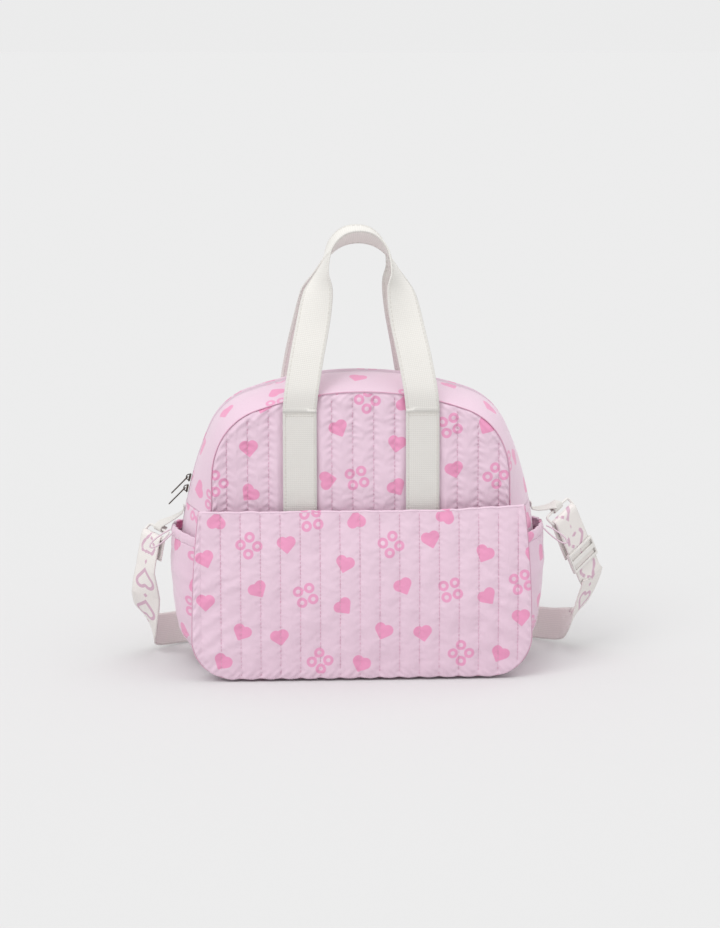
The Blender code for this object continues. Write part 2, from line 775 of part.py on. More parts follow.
def build_strap_slider(middle, wide, down, front):
    """A flat frame round the strap with a middle bar in front of it."""
    frame = frame_at(middle + front * 0.0005, wide, down)
    body = block("strap_slider", (0.0450, 0.0260, 0.0052), frame, "plastic", bevel=0.0012)
    window = block("slider_window", (0.0394, 0.0190, 0.0200), frame)
    boolean(body, window, "DIFFERENCE")
    passage = block(
        "slider_passage", (0.0394, 0.0400, 0.0028), frame_at(middle, wide, down)
    )
    boolean(body, passage, "DIFFERENCE")
    bridge = block(
        "slider_bar",
        (0.0430, 0.0060, 0.0016),
        frame_at(middle + front * 0.0023, wide, down),
        None,
        bevel=0.0005,
    )
    boolean(body, bridge, "UNION")


clear_scene()
bag = new_collection("diaper_bag")
helpers = new_collection("tools")
build_body()
build_zip()
build_inside()
build_pocket()
build_side_pockets()
build_drawcords()
build_handles()
build_rings()
build_strap()
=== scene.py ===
"""Looks of the quilted diaper bag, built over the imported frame."""

import math

import bmesh
import bpy
import numpy as np
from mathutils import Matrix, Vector, noise


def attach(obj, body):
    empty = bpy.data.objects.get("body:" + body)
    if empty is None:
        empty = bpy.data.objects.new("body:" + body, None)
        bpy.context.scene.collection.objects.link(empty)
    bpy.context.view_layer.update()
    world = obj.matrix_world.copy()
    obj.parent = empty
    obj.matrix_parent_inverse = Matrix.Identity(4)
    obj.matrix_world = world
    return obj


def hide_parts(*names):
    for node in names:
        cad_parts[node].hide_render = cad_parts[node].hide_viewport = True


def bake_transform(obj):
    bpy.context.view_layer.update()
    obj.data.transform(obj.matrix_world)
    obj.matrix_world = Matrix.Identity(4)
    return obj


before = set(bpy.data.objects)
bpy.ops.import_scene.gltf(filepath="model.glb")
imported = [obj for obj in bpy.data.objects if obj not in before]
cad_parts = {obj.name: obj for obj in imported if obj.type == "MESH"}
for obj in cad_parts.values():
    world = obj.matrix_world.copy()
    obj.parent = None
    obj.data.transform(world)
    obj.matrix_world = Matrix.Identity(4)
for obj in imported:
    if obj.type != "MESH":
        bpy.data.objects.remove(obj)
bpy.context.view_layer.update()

# ---------- dimensions repeated from the CAD, metres ----------

BODY_HEIGHT, SIDE_R, WIDE_HALF, WIDE_Z = 0.340, 0.400, 0.205, 0.115
CORNER_R, SHOULDER_R, SHOULDER_A = 0.055, 0.075, math.radians(24.0)
SEAM_Y, NARROW, SHOULDER_NARROW, LOWER, CROWN = 0.070, 0.140, 0.060, 0.045, 0.010
CLOTH, QUILT = 0.0025, 0.0030
ZIP_END_Z, POCKET_TOP, POCKET_HALF = 0.190, 0.186, 0.192
POCKET_Y0, POCKET_Y1, POCKET_CROWN, POCKET_CORNER = 0.092, 0.100, 0.009, 0.046
SIDE_TOP, SWELL = 0.150, 0.0095
SIDE_POCKET_LOW, SIDE_POCKET_Y = math.radians(-52.0), np.linspace(-0.060, 0.060, 56)
LEG_X, STITCH_Z, BAND = 0.069, 0.3055, 0.038
ZIP_GAP = 0.0119
HANDLE_TOP_Z = 0.494
RING_BAR = 0.0016
DRAWCORD = 0.0018

SIDE_C = (WIDE_HALF - SIDE_R, WIDE_Z)
REACH, DROP = SIDE_R - CORNER_R, WIDE_Z - CORNER_R
CORNER_C = (SIDE_C[0] + math.sqrt(REACH**2 - DROP**2), CORNER_R)
CORNER_A = -math.asin(DROP / REACH)
SHOULDER_C = (
    SIDE_C[0] + (SIDE_R - SHOULDER_R) * math.cos(SHOULDER_A),
    SIDE_C[1] + (SIDE_R - SHOULDER_R) * math.sin(SHOULDER_A),
)
FALL = SHOULDER_C[1] - BODY_HEIGHT
TOP_R = (SHOULDER_R**2 - SHOULDER_C[0] ** 2 - FALL**2) / (2 * (FALL + SHOULDER_R))
TOP_C = (0.0, BODY_HEIGHT - TOP_R)
TOP_A = math.atan2(SHOULDER_C[1] - TOP_C[1], SHOULDER_C[0])

# ---------- looks: thicknesses in metres, and a distance in mm that no print reaches ----------

GUSSET_CLOTH, SIDE_POCKET_CLOTH, CASING = 0.0014, 0.0013, 0.0026
GATHER = 0.0135
HANDLE_BAND, LEG_BAND, STRAP_BAND = 0.0020, 0.0019, 0.0016
SEAM_THREAD, STITCH_THREAD = 0.0006, 0.00040
NO_PRINT = 30.0

# ---------- camera, floor, light ----------

CAMERA_TURN, CAMERA_RISE, CAMERA_FAR = math.radians(3.0), math.radians(10.0), 3.0
CAMERA_LENS, CAMERA_SENSOR, CAMERA_TARGET = 101.0, 36.0, (0.0025, 0.0, 0.2300)
FLOOR_SIDE, FLOOR_GREY = 80.0, 0.700
SKY_LIGHT, SKY_SEEN = 0.74, 0.835
# Name, the way towards it, its angle in degrees and its strength
SUNS = (("key", (-0.42, -0.46, 0.78), 34.0, 0.90), ("top", (0.20, -0.05, 0.97), 60.0, 0.78))


def build_stage():
    scene = bpy.context.scene
    scene.view_settings.view_transform = "Standard"
    data = bpy.data.cameras.new("camera")
    data.sensor_width = CAMERA_SENSOR
    data.lens = CAMERA_LENS
    camera = bpy.data.objects.new("camera", data)
    scene.collection.objects.link(camera)
    level = math.cos(CAMERA_RISE)
    away = Vector((-math.sin(CAMERA_TURN) * level, -math.cos(CAMERA_TURN) * level, math.sin(CAMERA_RISE)))
    camera.location = Vector(CAMERA_TARGET) + away * CAMERA_FAR
    camera.rotation_euler = (-away).to_track_quat("-Z", "Y").to_euler()
    scene.camera = camera

    bpy.ops.mesh.primitive_plane_add(size=FLOOR_SIDE, location=(0.0, 0.0, 0.0))
    floor = bpy.context.object
    floor.name = "floor"
    paint = bpy.data.materials.new("floor_paint")
    paint.use_nodes = True
    shader = paint.node_tree.nodes["Principled BSDF"]
    shader.inputs["Base Color"].default_value = (FLOOR_GREY, FLOOR_GREY, FLOOR_GREY, 1.0)
    shader.inputs["Roughness"].default_value = 1.0
    shader.inputs["Specular IOR Level"].default_value = 0.0
    floor.data.materials.append(paint)

    world = bpy.data.worlds.new("studio")
    world.use_nodes = True
    tree = world.node_tree
    sky = tree.nodes["Background"]
    sky.inputs["Color"].default_value = (1.0, 1.0, 1.0, 1.0)
    seen = tree.nodes.new("ShaderNodeLightPath")
    strength = tree.nodes.new("ShaderNodeMapRange")
    strength.inputs["To Min"].default_value = SKY_LIGHT
    strength.inputs["To Max"].default_value = SKY_SEEN
    tree.links.new(seen.outputs["Is Camera Ray"], strength.inputs["Value"])
    tree.links.new(strength.outputs["Result"], sky.inputs["Strength"])
    scene.world = world
    for name, way, angle, power in SUNS:
        lamp = bpy.data.lights.new(name, "SUN")
        lamp.angle = math.radians(angle)
        lamp.energy = power
        lamp_obj = bpy.data.objects.new(name, lamp)
        lamp_obj.location = Vector(way) * 3.0
        lamp_obj.rotation_euler = (-Vector(way)).to_track_quat("-Z", "Y").to_euler()
        scene.collection.objects.link(lamp_obj)


# ---------- shapes ----------


def arc(centre, radius, start, end, steps):
    turn = np.linspace(start, end, steps + 1)
    return np.stack([centre[0] + radius * np.cos(turn), centre[1] + radius * np.sin(turn)], 1)


def side_angle(z):
    return math.asin((z - WIDE_Z) / SIDE_R)


def resample(line, count):
    """count points evenly spaced along a polyline of 2-D or 3-D points."""
    line = np.asarray(line, float)
    run = np.concatenate([[0.0], np.cumsum(np.linalg.norm(np.diff(line, axis=0), axis=1))])
    at = np.linspace(0.0, run[-1], count)
    return np.stack([np.interp(at, run, line[:, k]) for k in range(line.shape[1])], 1), at


def side_half(inset):
    """The right side's outline, from the base up to the zip's end."""
    corner = arc(CORNER_C, CORNER_R - inset, -math.pi / 2, CORNER_A, 30)
    side = arc(SIDE_C, SIDE_R - inset, CORNER_A, side_angle(ZIP_END_Z), 60)
    return np.concatenate([corner, side[1:]])


def top_half(inset):
    """The right half of the dome's outline, from the zip's end to the top."""
    side = arc(SIDE_C, SIDE_R - inset, side_angle(ZIP_END_Z), SHOULDER_A, 20)
    shoulder = arc(SHOULDER_C, SHOULDER_R - inset, SHOULDER_A, TOP_A, 30)
    top = arc(TOP_C, TOP_R - inset, TOP_A, math.pi / 2, 40)
    return np.concatenate([side, shoulder[1:], top[1:]])


def mirrored(half):
    return np.concatenate([half, (half[:-1] * (-1.0, 1.0))[::-1]])


def at_depth(line, y):
    """2-D outline at each depth y: rows of 3-D points."""
    away = (np.asarray(y, float)[:, None] / SEAM_Y) ** 2
    rise = np.clip((line[None, :, 1] - ZIP_END_Z) / 0.085, 0.0, 1.0)
    narrowing = NARROW + (SHOULDER_NARROW - NARROW) * rise * rise * (3 - 2 * rise)
    x = line[None, :, 0] * (1 - narrowing * away)
    z = line[None, :, 1] * (1 - LOWER * away)
    return np.stack([x, np.broadcast_to(np.asarray(y, float)[:, None], x.shape), z], 2)


def crown(x, z):
    across = np.maximum(0.0, 1 - (x / 0.180) ** 2)
    up = np.maximum(0.0, 1 - ((z - 0.160) / 0.165) ** 2)
    return CROWN * across * up


def pocket_face(z):
    return POCKET_Y0 + (POCKET_Y1 - POCKET_Y0) * (1 - (z / POCKET_TOP) ** 2)


def pocket_crown(x, z):
    across = np.maximum(0.0, 1 - (x / (POCKET_HALF + 0.004)) ** 2)
    up = np.sin(math.pi * np.clip((z + 0.02) / 0.235, 0.0, 1.0))
    return pocket_face(z) + POCKET_CROWN * np.sqrt(across) * up


def waves(a, b, seed, scale, octaves=3):
    """A smooth noise field over two coordinates in metres, about -1 to 1, fixed by its seed."""
    flat = zip(np.ravel(a), np.ravel(b))
    made = [
        noise.fractal(
            Vector((u / scale, v / scale, seed * 7.31)), 0.6, 2.0, octaves, noise_basis="PERLIN_ORIGINAL"
        )
        for u, v in flat
    ]
    return np.array(made).reshape(np.shape(a))


# ---------- print: hearts and flowers of four rings, as distance fields ----------


def heart_distance(px, py):
    """Signed distance to a heart about 1.1 tall with its tip at the origin, negative inside."""
    x = np.abs(px)
    upper = np.hypot(x - 0.25, py - 0.75) - math.sqrt(2) / 4
    m = 0.5 * np.maximum(x + py, 0.0)
    lower = np.sqrt(np.minimum(x**2 + (py - 1) ** 2, (x - m) ** 2 + (py - m) ** 2)) * np.sign(x - py)
    return np.where(py + x > 1.0, upper, lower)


def flower_distance(px, py):
    """Four round petals, size about 1."""
    x, y = np.abs(px), np.abs(py)
    return np.hypot(x - 0.27, y - 0.27) - 0.24


def print_fields(u, v, motifs):
    """Heart and flower distance in mm over fabric coordinates u, v, as sheet_mesh takes them."""
    heart = np.full(u.shape, NO_PRINT)
    flower = np.full(u.shape, NO_PRINT)
    for kind, x, y, turn in motifs:
        size = SIZES[kind]
        c, s = math.cos(math.radians(turn)), math.sin(math.radians(turn))
        dx, dy = u - x, v - y
        px, py = (c * dx + s * dy) / size, (-s * dx + c * dy) / size
        if kind == "h":
            heart = np.minimum(heart, heart_distance(px, py + 0.55) * size * 1000)
        else:
            flower = np.minimum(flower, flower_distance(px, py) * size * 1000)
    return [("heart", heart), ("flower", flower)]


SIZES = {"h": 0.0175, "f": 0.0245}
MOTIF_REACH = 0.02
TILE = (0.159, 0.159)
# Heart or flower, its place on the cloth in metres and its turn in degrees
TILE_MOTIFS = (
    ("h", 0.012, 0.018, 20), ("h", 0.062, 0.034, -35), ("h", 0.108, 0.012, 160), ("h", 0.140, 0.052, 10),
    ("h", 0.034, 0.074, 200), ("h", 0.088, 0.084, 45), ("h", 0.136, 0.106, -80), ("h", 0.016, 0.124, 95),
    ("h", 0.066, 0.136, 0), ("f", 0.104, 0.050, 20), ("f", 0.050, 0.108, 50), ("f", 0.112, 0.142, 5),
)


def tiled(u, v, shift=(0.0, 0.0)):
    """The all-over print on pieces the maker cut without matching."""
    u = (u + shift[0]) % TILE[0]
    v = (v + shift[1]) % TILE[1]
    motifs = []
    for kind, x, y, turn in TILE_MOTIFS:
        for across in (x - TILE[0], x, x + TILE[0]):
            for up in (y - TILE[1], y, y + TILE[1]):
                near = -MOTIF_REACH < across < TILE[0] + MOTIF_REACH
                if near and -MOTIF_REACH < up < TILE[1] + MOTIF_REACH:
                    motifs.append((kind, across, up, turn))
    return print_fields(u, v, motifs)


# ---------- meshes ----------


def normals_of(points):
    du = np.gradient(points, axis=1)
    dv = np.gradient(points, axis=0)
    n = np.cross(du, dv)
    return n / np.maximum(np.linalg.norm(n, axis=2, keepdims=True), 1e-12)


def add_object(name, mesh, material):
    mesh.polygons.foreach_set("use_smooth", np.ones(len(mesh.polygons), bool))
    mesh.materials.append(material)
    made = bpy.data.objects.new(name, mesh)
    bpy.context.scene.collection.objects.link(made)
    return made


def sheet_mesh(name, points, uv, material, thickness=0.0, fields=(), outward=None, one_sided=False):
    """A grid of points as smooth cloth. With a thickness it gets a back face and rim on its inner side.

    Its faces point away from outward, a point. One sided keeps the print off the first layer.
    """
    points = np.asarray(points, float)
    rows, cols = points.shape[:2]
    n = normals_of(points)
    if outward is not None:
        centre = points - np.asarray(outward, float)
        if (n * centre).sum() < 0:
            points, uv = points[:, ::-1], uv[:, ::-1]
            fields = [(key, f[:, ::-1]) for key, f in fields]
            n = normals_of(points)
    layers = [points] if not thickness else [points, points - n * thickness]
    count = rows * cols
    co = np.concatenate([layer.reshape(-1, 3) for layer in layers])
    i = np.arange(rows - 1)[:, None] * cols + np.arange(cols - 1)[None, :]
    front = np.stack([i, i + 1, i + 1 + cols, i + cols], 2).reshape(-1, 4)
    quads = [front]
    if thickness:
        quads.append(front[:, ::-1] + count)
        loop = np.concatenate(
            [
                np.arange(cols),
                np.arange(1, rows) * cols + cols - 1,
                (rows - 1) * cols + np.arange(cols - 2, -1, -1),
                np.arange(rows - 2, 0, -1) * cols,
            ]
        )
        ahead = np.roll(loop, -1)
        quads.append(np.stack([ahead, loop, loop + count, ahead + count], 1))
    quads = np.concatenate(quads)
    mesh = bpy.data.meshes.new(name)
    mesh.vertices.add(len(co))
    mesh.vertices.foreach_set("co", co.astype(np.float32).ravel())
    mesh.loops.add(quads.size)
    mesh.loops.foreach_set("vertex_index", quads.astype(np.int32).ravel())
    mesh.polygons.add(len(quads))
    mesh.polygons.foreach_set("loop_start", np.arange(0, quads.size, 4, dtype=np.int32))
    mesh.polygons.foreach_set("loop_total", np.full(len(quads), 4, np.int32))
    mesh.update(calc_edges=True)
    mesh.validate()
    flat = np.concatenate([np.asarray(uv, float).reshape(-1, 2)] * len(layers))
    layer = mesh.uv_layers.new(name="cloth")
    order = np.empty(len(mesh.loops), np.int32)
    mesh.loops.foreach_get("vertex_index", order)
    layer.data.foreach_set("uv", flat[order].astype(np.float32).ravel())
    for key, values in fields:
        attribute = mesh.attributes.new(key, "FLOAT", "POINT")
        sides = [np.ravel(values)] * len(layers)
        if one_sided:
            sides[0] = np.full(sides[1].shape, NO_PRINT)
        attribute.data.foreach_set("value", np.concatenate(sides).astype(np.float32))
    return add_object(name, mesh, material)


def seam_shade_tube(name, path, material):
    """A thin tube with closed ends laid along a seam, darker pink: partly the seam's thread, partly painted
    shade of the seam's groove.
    """
    radius, sides = SEAM_THREAD, 8
    ahead = np.gradient(path, axis=0)
    ahead /= np.linalg.norm(ahead, axis=1, keepdims=True)
    side = np.cross(ahead[0], (0.13, 0.71, 0.69))
    frames = []
    for t in ahead:
        side = side - t * side.dot(t)
        side /= np.linalg.norm(side)
        frames.append((side.copy(), np.cross(t, side)))
    ring = np.linspace(0, 2 * math.pi, sides, endpoint=False)
    co = []
    for p, (s, w) in zip(path, frames):
        co += [p + radius * (math.cos(a) * s + math.sin(a) * w) for a in ring]
    last = (len(path) - 1) * sides
    faces = []
    for start in range(0, last, sides):
        for k in range(sides):
            m = (k + 1) % sides
            faces.append((start + k, start + m, start + sides + m, start + sides + k))
    faces.append(tuple(range(sides - 1, -1, -1)))
    faces.append(tuple(last + k for k in range(sides)))
    mesh = bpy.data.meshes.new(name)
    mesh.from_pydata(np.array(co).tolist(), [], faces)
    return add_object(name, mesh, material)


def stitch_mesh(name, runs, material, length=0.0027, pitch=0.0040):
    """Rows of thread dashes. Each run is a polyline already on the cloth."""
    radius = STITCH_THREAD
    co, faces = [], []
    for run in runs:
        run = np.asarray(run, float)
        total = np.linalg.norm(np.diff(run, axis=0), axis=1).sum()
        count = max(1, int(total / pitch))
        line, _ = resample(run, count * 4 + 1)
        for k in range(count):
            a = line[k * 4]
            b = line[min(k * 4 + int(round(4 * length / pitch)), len(line) - 1)]
            t = b - a
            size = np.linalg.norm(t)
            if size < 1e-6:
                continue
            t = t / size
            s = np.cross(t, (0.31, 0.2, 0.93))
            s /= np.linalg.norm(s)
            w = np.cross(t, s)
            base = len(co)
            for at, r in ((a, 0.45), (a + (b - a) * 0.2, 1.0), (a + (b - a) * 0.8, 1.0), (b, 0.45)):
                for q in range(5):
                    g = 2 * math.pi * q / 5
                    co.append(at + radius * r * (math.cos(g) * s + math.sin(g) * w))
            for ring in range(3):
                for q in range(5):
                    p = (q + 1) % 5
                    f = base + ring * 5
                    faces.append((f + q, f + p, f + 5 + p, f + 5 + q))
            faces.append(tuple(base + q for q in range(4, -1, -1)))
            faces.append(tuple(base + 15 + q for q in range(5)))
    mesh = bpy.data.meshes.new(name)
    mesh.from_pydata([tuple(p) for p in co], [], faces)
    return add_object(name, mesh, material)


# ---------- materials ----------


def new_material(name):
    made = bpy.data.materials.new(name)
    made.use_nodes = True
    return made, made.node_tree.nodes, made.node_tree.links, made.node_tree.nodes["Principled BSDF"]


def node(nodes, kind, **values):
    made = nodes.new(kind)
    for key, value in values.items():
        if key in made.inputs:
            made.inputs[key].default_value = value
        else:
            setattr(made, key, value)
    return made


def mask_of(nodes, links, key, soft=0.35, at=0.0):
    """1 inside a distance field's edge."""
    field = node(nodes, "ShaderNodeAttribute", attribute_name=key)
    ramp = node(nodes, "ShaderNodeMapRange", interpolation_type="SMOOTHSTEP")
    ramp.inputs["From Min"].default_value = at + soft
    ramp.inputs["From Max"].default_value = at - soft
    links.new(field.outputs["Fac"], ramp.inputs["Value"])
    return ramp.outputs["Result"]


def mixed(nodes, links, fac, a, b, mode="MIX"):
    made = nodes.new("ShaderNodeMix")
    made.data_type = "RGBA"
    made.blend_type = mode
    for socket, value in ((made.inputs["Factor"], fac), (made.inputs["A"], a), (made.inputs["B"], b)):
        if isinstance(value, (tuple, float)):
            socket.default_value = value
        else:
            links.new(value, socket)
    return made.outputs["Result"]


def spread(nodes, links, value, low, high):
    """A value of 0 to 1 mapped to low to high."""
    made = node(nodes, "ShaderNodeMapRange")
    made.inputs["To Min"].default_value = low
    made.inputs["To Max"].default_value = high
    links.new(value, made.inputs["Value"])
    return made.outputs["Result"]


def weave_height(nodes, links, coords, pitch):
    """A plain weave's height: two crossed waves."""
    made = []
    for way in ("X", "Y"):
        wave = node(nodes, "ShaderNodeTexWave", bands_direction=way, wave_profile="SIN")
        wave.inputs["Scale"].default_value = 0.314 / pitch
        wave.inputs["Distortion"].default_value = 0.25
        wave.inputs["Detail"].default_value = 1.0
        wave.inputs["Detail Scale"].default_value = 2.0
        links.new(coords, wave.inputs["Vector"])
        made.append(wave.outputs["Fac"])
    both = node(nodes, "ShaderNodeMath", operation="MULTIPLY")
    links.new(made[0], both.inputs[0])
    links.new(made[1], both.inputs[1])
    return both.outputs["Value"]


def cloth_material(
    name, base, dark, motifs=None, pitch=0.0007, roughness=0.45, sheen=0.25, bump=0.10, flower=None,
    crinkle=0.0,
):
    """Woven cloth. Pitch is its weave's, in metres, and bump and crinkle are heights in millimetres."""
    made, nodes, links, shader = new_material(name)
    coords = node(nodes, "ShaderNodeTexCoord")
    uv = coords.outputs["UV"]
    cloud = node(nodes, "ShaderNodeTexNoise", Scale=9.0, Detail=4.0)
    links.new(coords.outputs["Object"], cloud.inputs["Vector"])
    colour = mixed(nodes, links, cloud.outputs["Fac"], base, dark)
    weave = weave_height(nodes, links, uv, pitch)
    thread = spread(nodes, links, weave, 0.93, 1.04)
    if motifs:
        heart = mask_of(nodes, links, "heart")
        colour = mixed(nodes, links, heart, colour, motifs)
    if flower:
        petal = mask_of(nodes, links, "flower", soft=0.3, at=0.0)
        inner = mask_of(nodes, links, "flower", soft=0.3, at=-3.3)
        colour = mixed(nodes, links, petal, colour, flower[0])
        colour = mixed(nodes, links, inner, colour, flower[1])
    colour = mixed(nodes, links, 1.0, colour, thread, "MULTIPLY")
    links.new(colour, shader.inputs["Base Color"])
    rough = spread(nodes, links, cloud.outputs["Fac"], roughness - 0.06, roughness + 0.08)
    links.new(rough, shader.inputs["Roughness"])
    shader.inputs["Sheen Weight"].default_value = sheen
    shader.inputs["Sheen Roughness"].default_value = 0.4
    shader.inputs["Specular IOR Level"].default_value = 0.45
    fine = node(nodes, "ShaderNodeBump", Strength=0.55, Distance=bump / 1000)
    links.new(weave, fine.inputs["Height"])
    links.new(fine.outputs["Normal"], shader.inputs["Normal"])
    if crinkle:
        fold = node(
            nodes, "ShaderNodeTexNoise", noise_type="RIDGED_MULTIFRACTAL",
            Scale=42.0, Detail=3.0, Roughness=0.45, Distortion=0.6,
        )
        links.new(coords.outputs["Object"], fold.inputs["Vector"])
        crease = node(nodes, "ShaderNodeBump", Strength=0.6, Distance=crinkle / 1000)
        links.new(fold.outputs["Fac"], crease.inputs["Height"])
        links.new(crease.outputs["Normal"], fine.inputs["Normal"])
    return made


def plain_material(name, base, roughness, metallic=0.0, scale=60.0, bump=0.00005, wear=None):
    """Moulded or plated: slight mottling in colour, gloss and height."""
    made, nodes, links, shader = new_material(name)
    coords = node(nodes, "ShaderNodeTexCoord")
    cloud = node(nodes, "ShaderNodeTexNoise", Scale=scale, Detail=5.0)
    links.new(coords.outputs["Object"], cloud.inputs["Vector"])
    other = wear or tuple(0.9 * c for c in base[:3]) + (1.0,)
    links.new(mixed(nodes, links, cloud.outputs["Fac"], base, other), shader.inputs["Base Color"])
    rough = spread(nodes, links, cloud.outputs["Fac"], roughness - 0.07, roughness + 0.10)
    links.new(rough, shader.inputs["Roughness"])
    shader.inputs["Metallic"].default_value = metallic
    fine = node(nodes, "ShaderNodeBump", Strength=0.4, Distance=bump)
    links.new(cloud.outputs["Fac"], fine.inputs["Height"])
    links.new(fine.outputs["Normal"], shader.inputs["Normal"])
    return made


PINK = (0.860, 0.655, 0.770, 1.0)
PINK_DARK = (0.825, 0.600, 0.725, 1.0)
HEART_PINK = (0.880, 0.345, 0.560, 1.0)
FLOWER_EDGE = (0.860, 0.370, 0.580, 1.0)
FLOWER_FILL = (0.850, 0.620, 0.740, 1.0)

# ---------- quilting ----------


def quilt(x, z, line_at, pitch, puff, seed, busy=1.0):
    """Height of the padding between vertical stitch lines, with puckers drawn in along each line."""
    phase = (x - line_at) / pitch
    index = np.round(phase)
    side = phase - index
    t = np.abs(side) * 2
    height = puff * t**0.55 * (1 - 0.15 * t * t)
    drift = waves(index * 0.31, z, seed, 0.035, 2)
    near = np.exp(-((t * pitch / 2 / 0.0056) ** 2))
    slant = z + np.abs(side) * pitch * (0.5 + 0.4 * drift)
    ripple = np.sin(2 * math.pi * slant / 0.0088 + index * 1.9 + np.sign(side) * 1.1 + drift * 3.5)
    height = height + busy * near * (0.00036 * ripple - 0.0002)
    across = np.sin(2 * math.pi * slant / 0.022 + index * 2.6 + drift * 4.0)
    return height + busy * 0.00022 * across * np.sqrt(t)


def stitch_columns(surface, line_at, pitch, low, high, left, right, skip=()):
    """Polylines down each stitch line; surface(x, z) gives the cloth's y there."""
    runs = []
    for k in range(math.ceil((left - line_at) / pitch), math.floor((right - line_at) / pitch) + 1):
        x = line_at + k * pitch
        if any(abs(x - c) < BAND / 2 + 0.001 for c in skip):
            continue
        bottom, top = low(x), high(x)
        if top - bottom < 0.015:
            continue
        z = np.linspace(bottom, top, max(4, int((top - bottom) / 0.002)))
        xs = np.full(z.shape, x)
        runs.append(np.stack([xs, surface(xs, z), z], 1))
    return runs


PANEL_LINE, PANEL_PITCH = -0.0096, 0.0236
POCKET_LINE, POCKET_PITCH = -0.0028, 0.0223


# Heart or flower, x and z in metres, and its turn in degrees
PANEL_MOTIFS = (
    ("h", -0.110, 0.310, -20), ("h", -0.126, 0.261, 5), ("h", -0.025, 0.283, 25),
    ("h", -0.126, 0.210, -40), ("h", 0.040, 0.265, -10), ("h", 0.040, 0.216, 30), ("h", 0.105, 0.235, 15),
    ("h", 0.141, 0.284, -30), ("h", 0.050, 0.312, 170), ("h", -0.025, 0.330, -15),
    ("h", -0.037, 0.226, 100), ("f", -0.164, 0.222, 45), ("f", -0.005, 0.228, 15),
    ("f", 0.007, 0.315, 40), ("f", 0.100, 0.286, 20), ("f", 0.152, 0.228, 50), ("h", -0.071, 0.253, 0),
    ("f", -0.071, 0.195, 30), ("h", 0.068, 0.247, 40),
)
POCKET_MOTIFS = (
    ("f", -0.127, 0.156, 40), ("h", -0.085, 0.156, 5), ("h", -0.020, 0.134, -15),
    ("h", -0.117, 0.106, 30), ("f", -0.064, 0.100, 20), ("h", -0.021, 0.086, 40),
    ("h", -0.136, 0.057, -25), ("h", -0.093, 0.051, 10), ("f", -0.048, 0.024, 50),
    ("h", -0.002, 0.019, -20), ("h", -0.163, 0.184, 175), ("h", -0.007, 0.184, 190),
    ("f", -0.057, 0.184, 10), ("h", -0.176, 0.140, 20), ("h", -0.176, 0.091, 0),
    ("h", -0.158, 0.023, -30), ("h", 0.077, 0.160, 15), ("h", 0.137, 0.143, -25), ("h", 0.046, 0.108, 25),
    ("h", 0.141, 0.095, 35), ("h", 0.023, 0.057, -20), ("h", 0.068, 0.054, 10), ("h", 0.179, 0.070, 5),
    ("h", 0.155, 0.028, -25), ("h", 0.193, 0.186, 0), ("h", 0.193, 0.140, -15), ("f", 0.032, 0.156, 35),
    ("f", 0.099, 0.104, 15), ("f", 0.111, 0.031, 45), ("h", 0.094, 0.188, 160), ("f", 0.179, 0.111, 20),
)


def under_legs(x):
    """1 under the sewn webbing, where the padding is held flat."""
    near = np.abs(np.abs(x) - LEG_X) - BAND / 2
    return np.clip(1 - (near - 0.001) / 0.006, 0.0, 1.0)


def dome_grid(upper_rim, lower_rim, cols, rows_up, rows_down):
    """Grid over the domed panel, right to left and bottom to top, with each point's gap to its rim."""
    up, _ = resample(upper_rim, cols)
    down, _ = resample(lower_rim, cols)
    fold = np.linspace(up[0], up[-1], cols)
    v_up = np.linspace(0, 1, rows_up) ** 0.9
    v_down = np.linspace(1, 0, rows_down)[:-1]
    upper = fold[None] * (1 - v_up[:, None, None]) + up[None] * v_up[:, None, None]
    lower = fold[None] * (1 - v_down[:, None, None]) + down[None] * v_down[:, None, None]
    grid = np.concatenate([lower, upper])
    gap = np.concatenate(
        [np.linalg.norm(lower - down[None], axis=2), np.linalg.norm(upper - up[None], axis=2)]
    )
    return grid, gap


def pucker(x, z, gap):
    """Cloth gathered a little by the seam's thread."""
    run = np.abs(x) + z
    beat = np.sin(2 * math.pi * run / 0.0105 + 3.0 * waves(run, run * 0, 77, 0.05, 2))
    return 0.00075 * beat * np.exp(-(((gap - 0.005) / 0.0045) ** 2))


def rims(inset, y):
    """The panel's outline above and below the zip's ends, as x and z at depth y."""
    up = at_depth(mirrored(top_half(inset)), [y])[0][:, [0, 2]]
    half = side_half(inset)
    down = np.concatenate([half[::-1], half[1:] * (-1.0, 1.0)])
    down = at_depth(down, [y])[0][:, [0, 2]]
    return up, down


def front_height(x, z):
    flat = under_legs(x)
    puff = quilt(x, z, PANEL_LINE, PANEL_PITCH, 0.0030, 3, 1.4 + 1.4 * np.clip((z - 0.235) / 0.05, 0, 1))
    broad = 0.0013 * waves(x, z, 5, 0.060) + 0.0006 * waves(x, z, 6, 0.022)
    return (puff + broad) * (1 - flat) - 0.0012 - 0.0002 * flat


def rear_height(x, z):
    puff = quilt(x, z, 0.0, PANEL_PITCH, 0.0030, 8) + 0.0012 * waves(x, z, 9, 0.06)
    return puff * (1 - under_legs(x)) - 0.0012


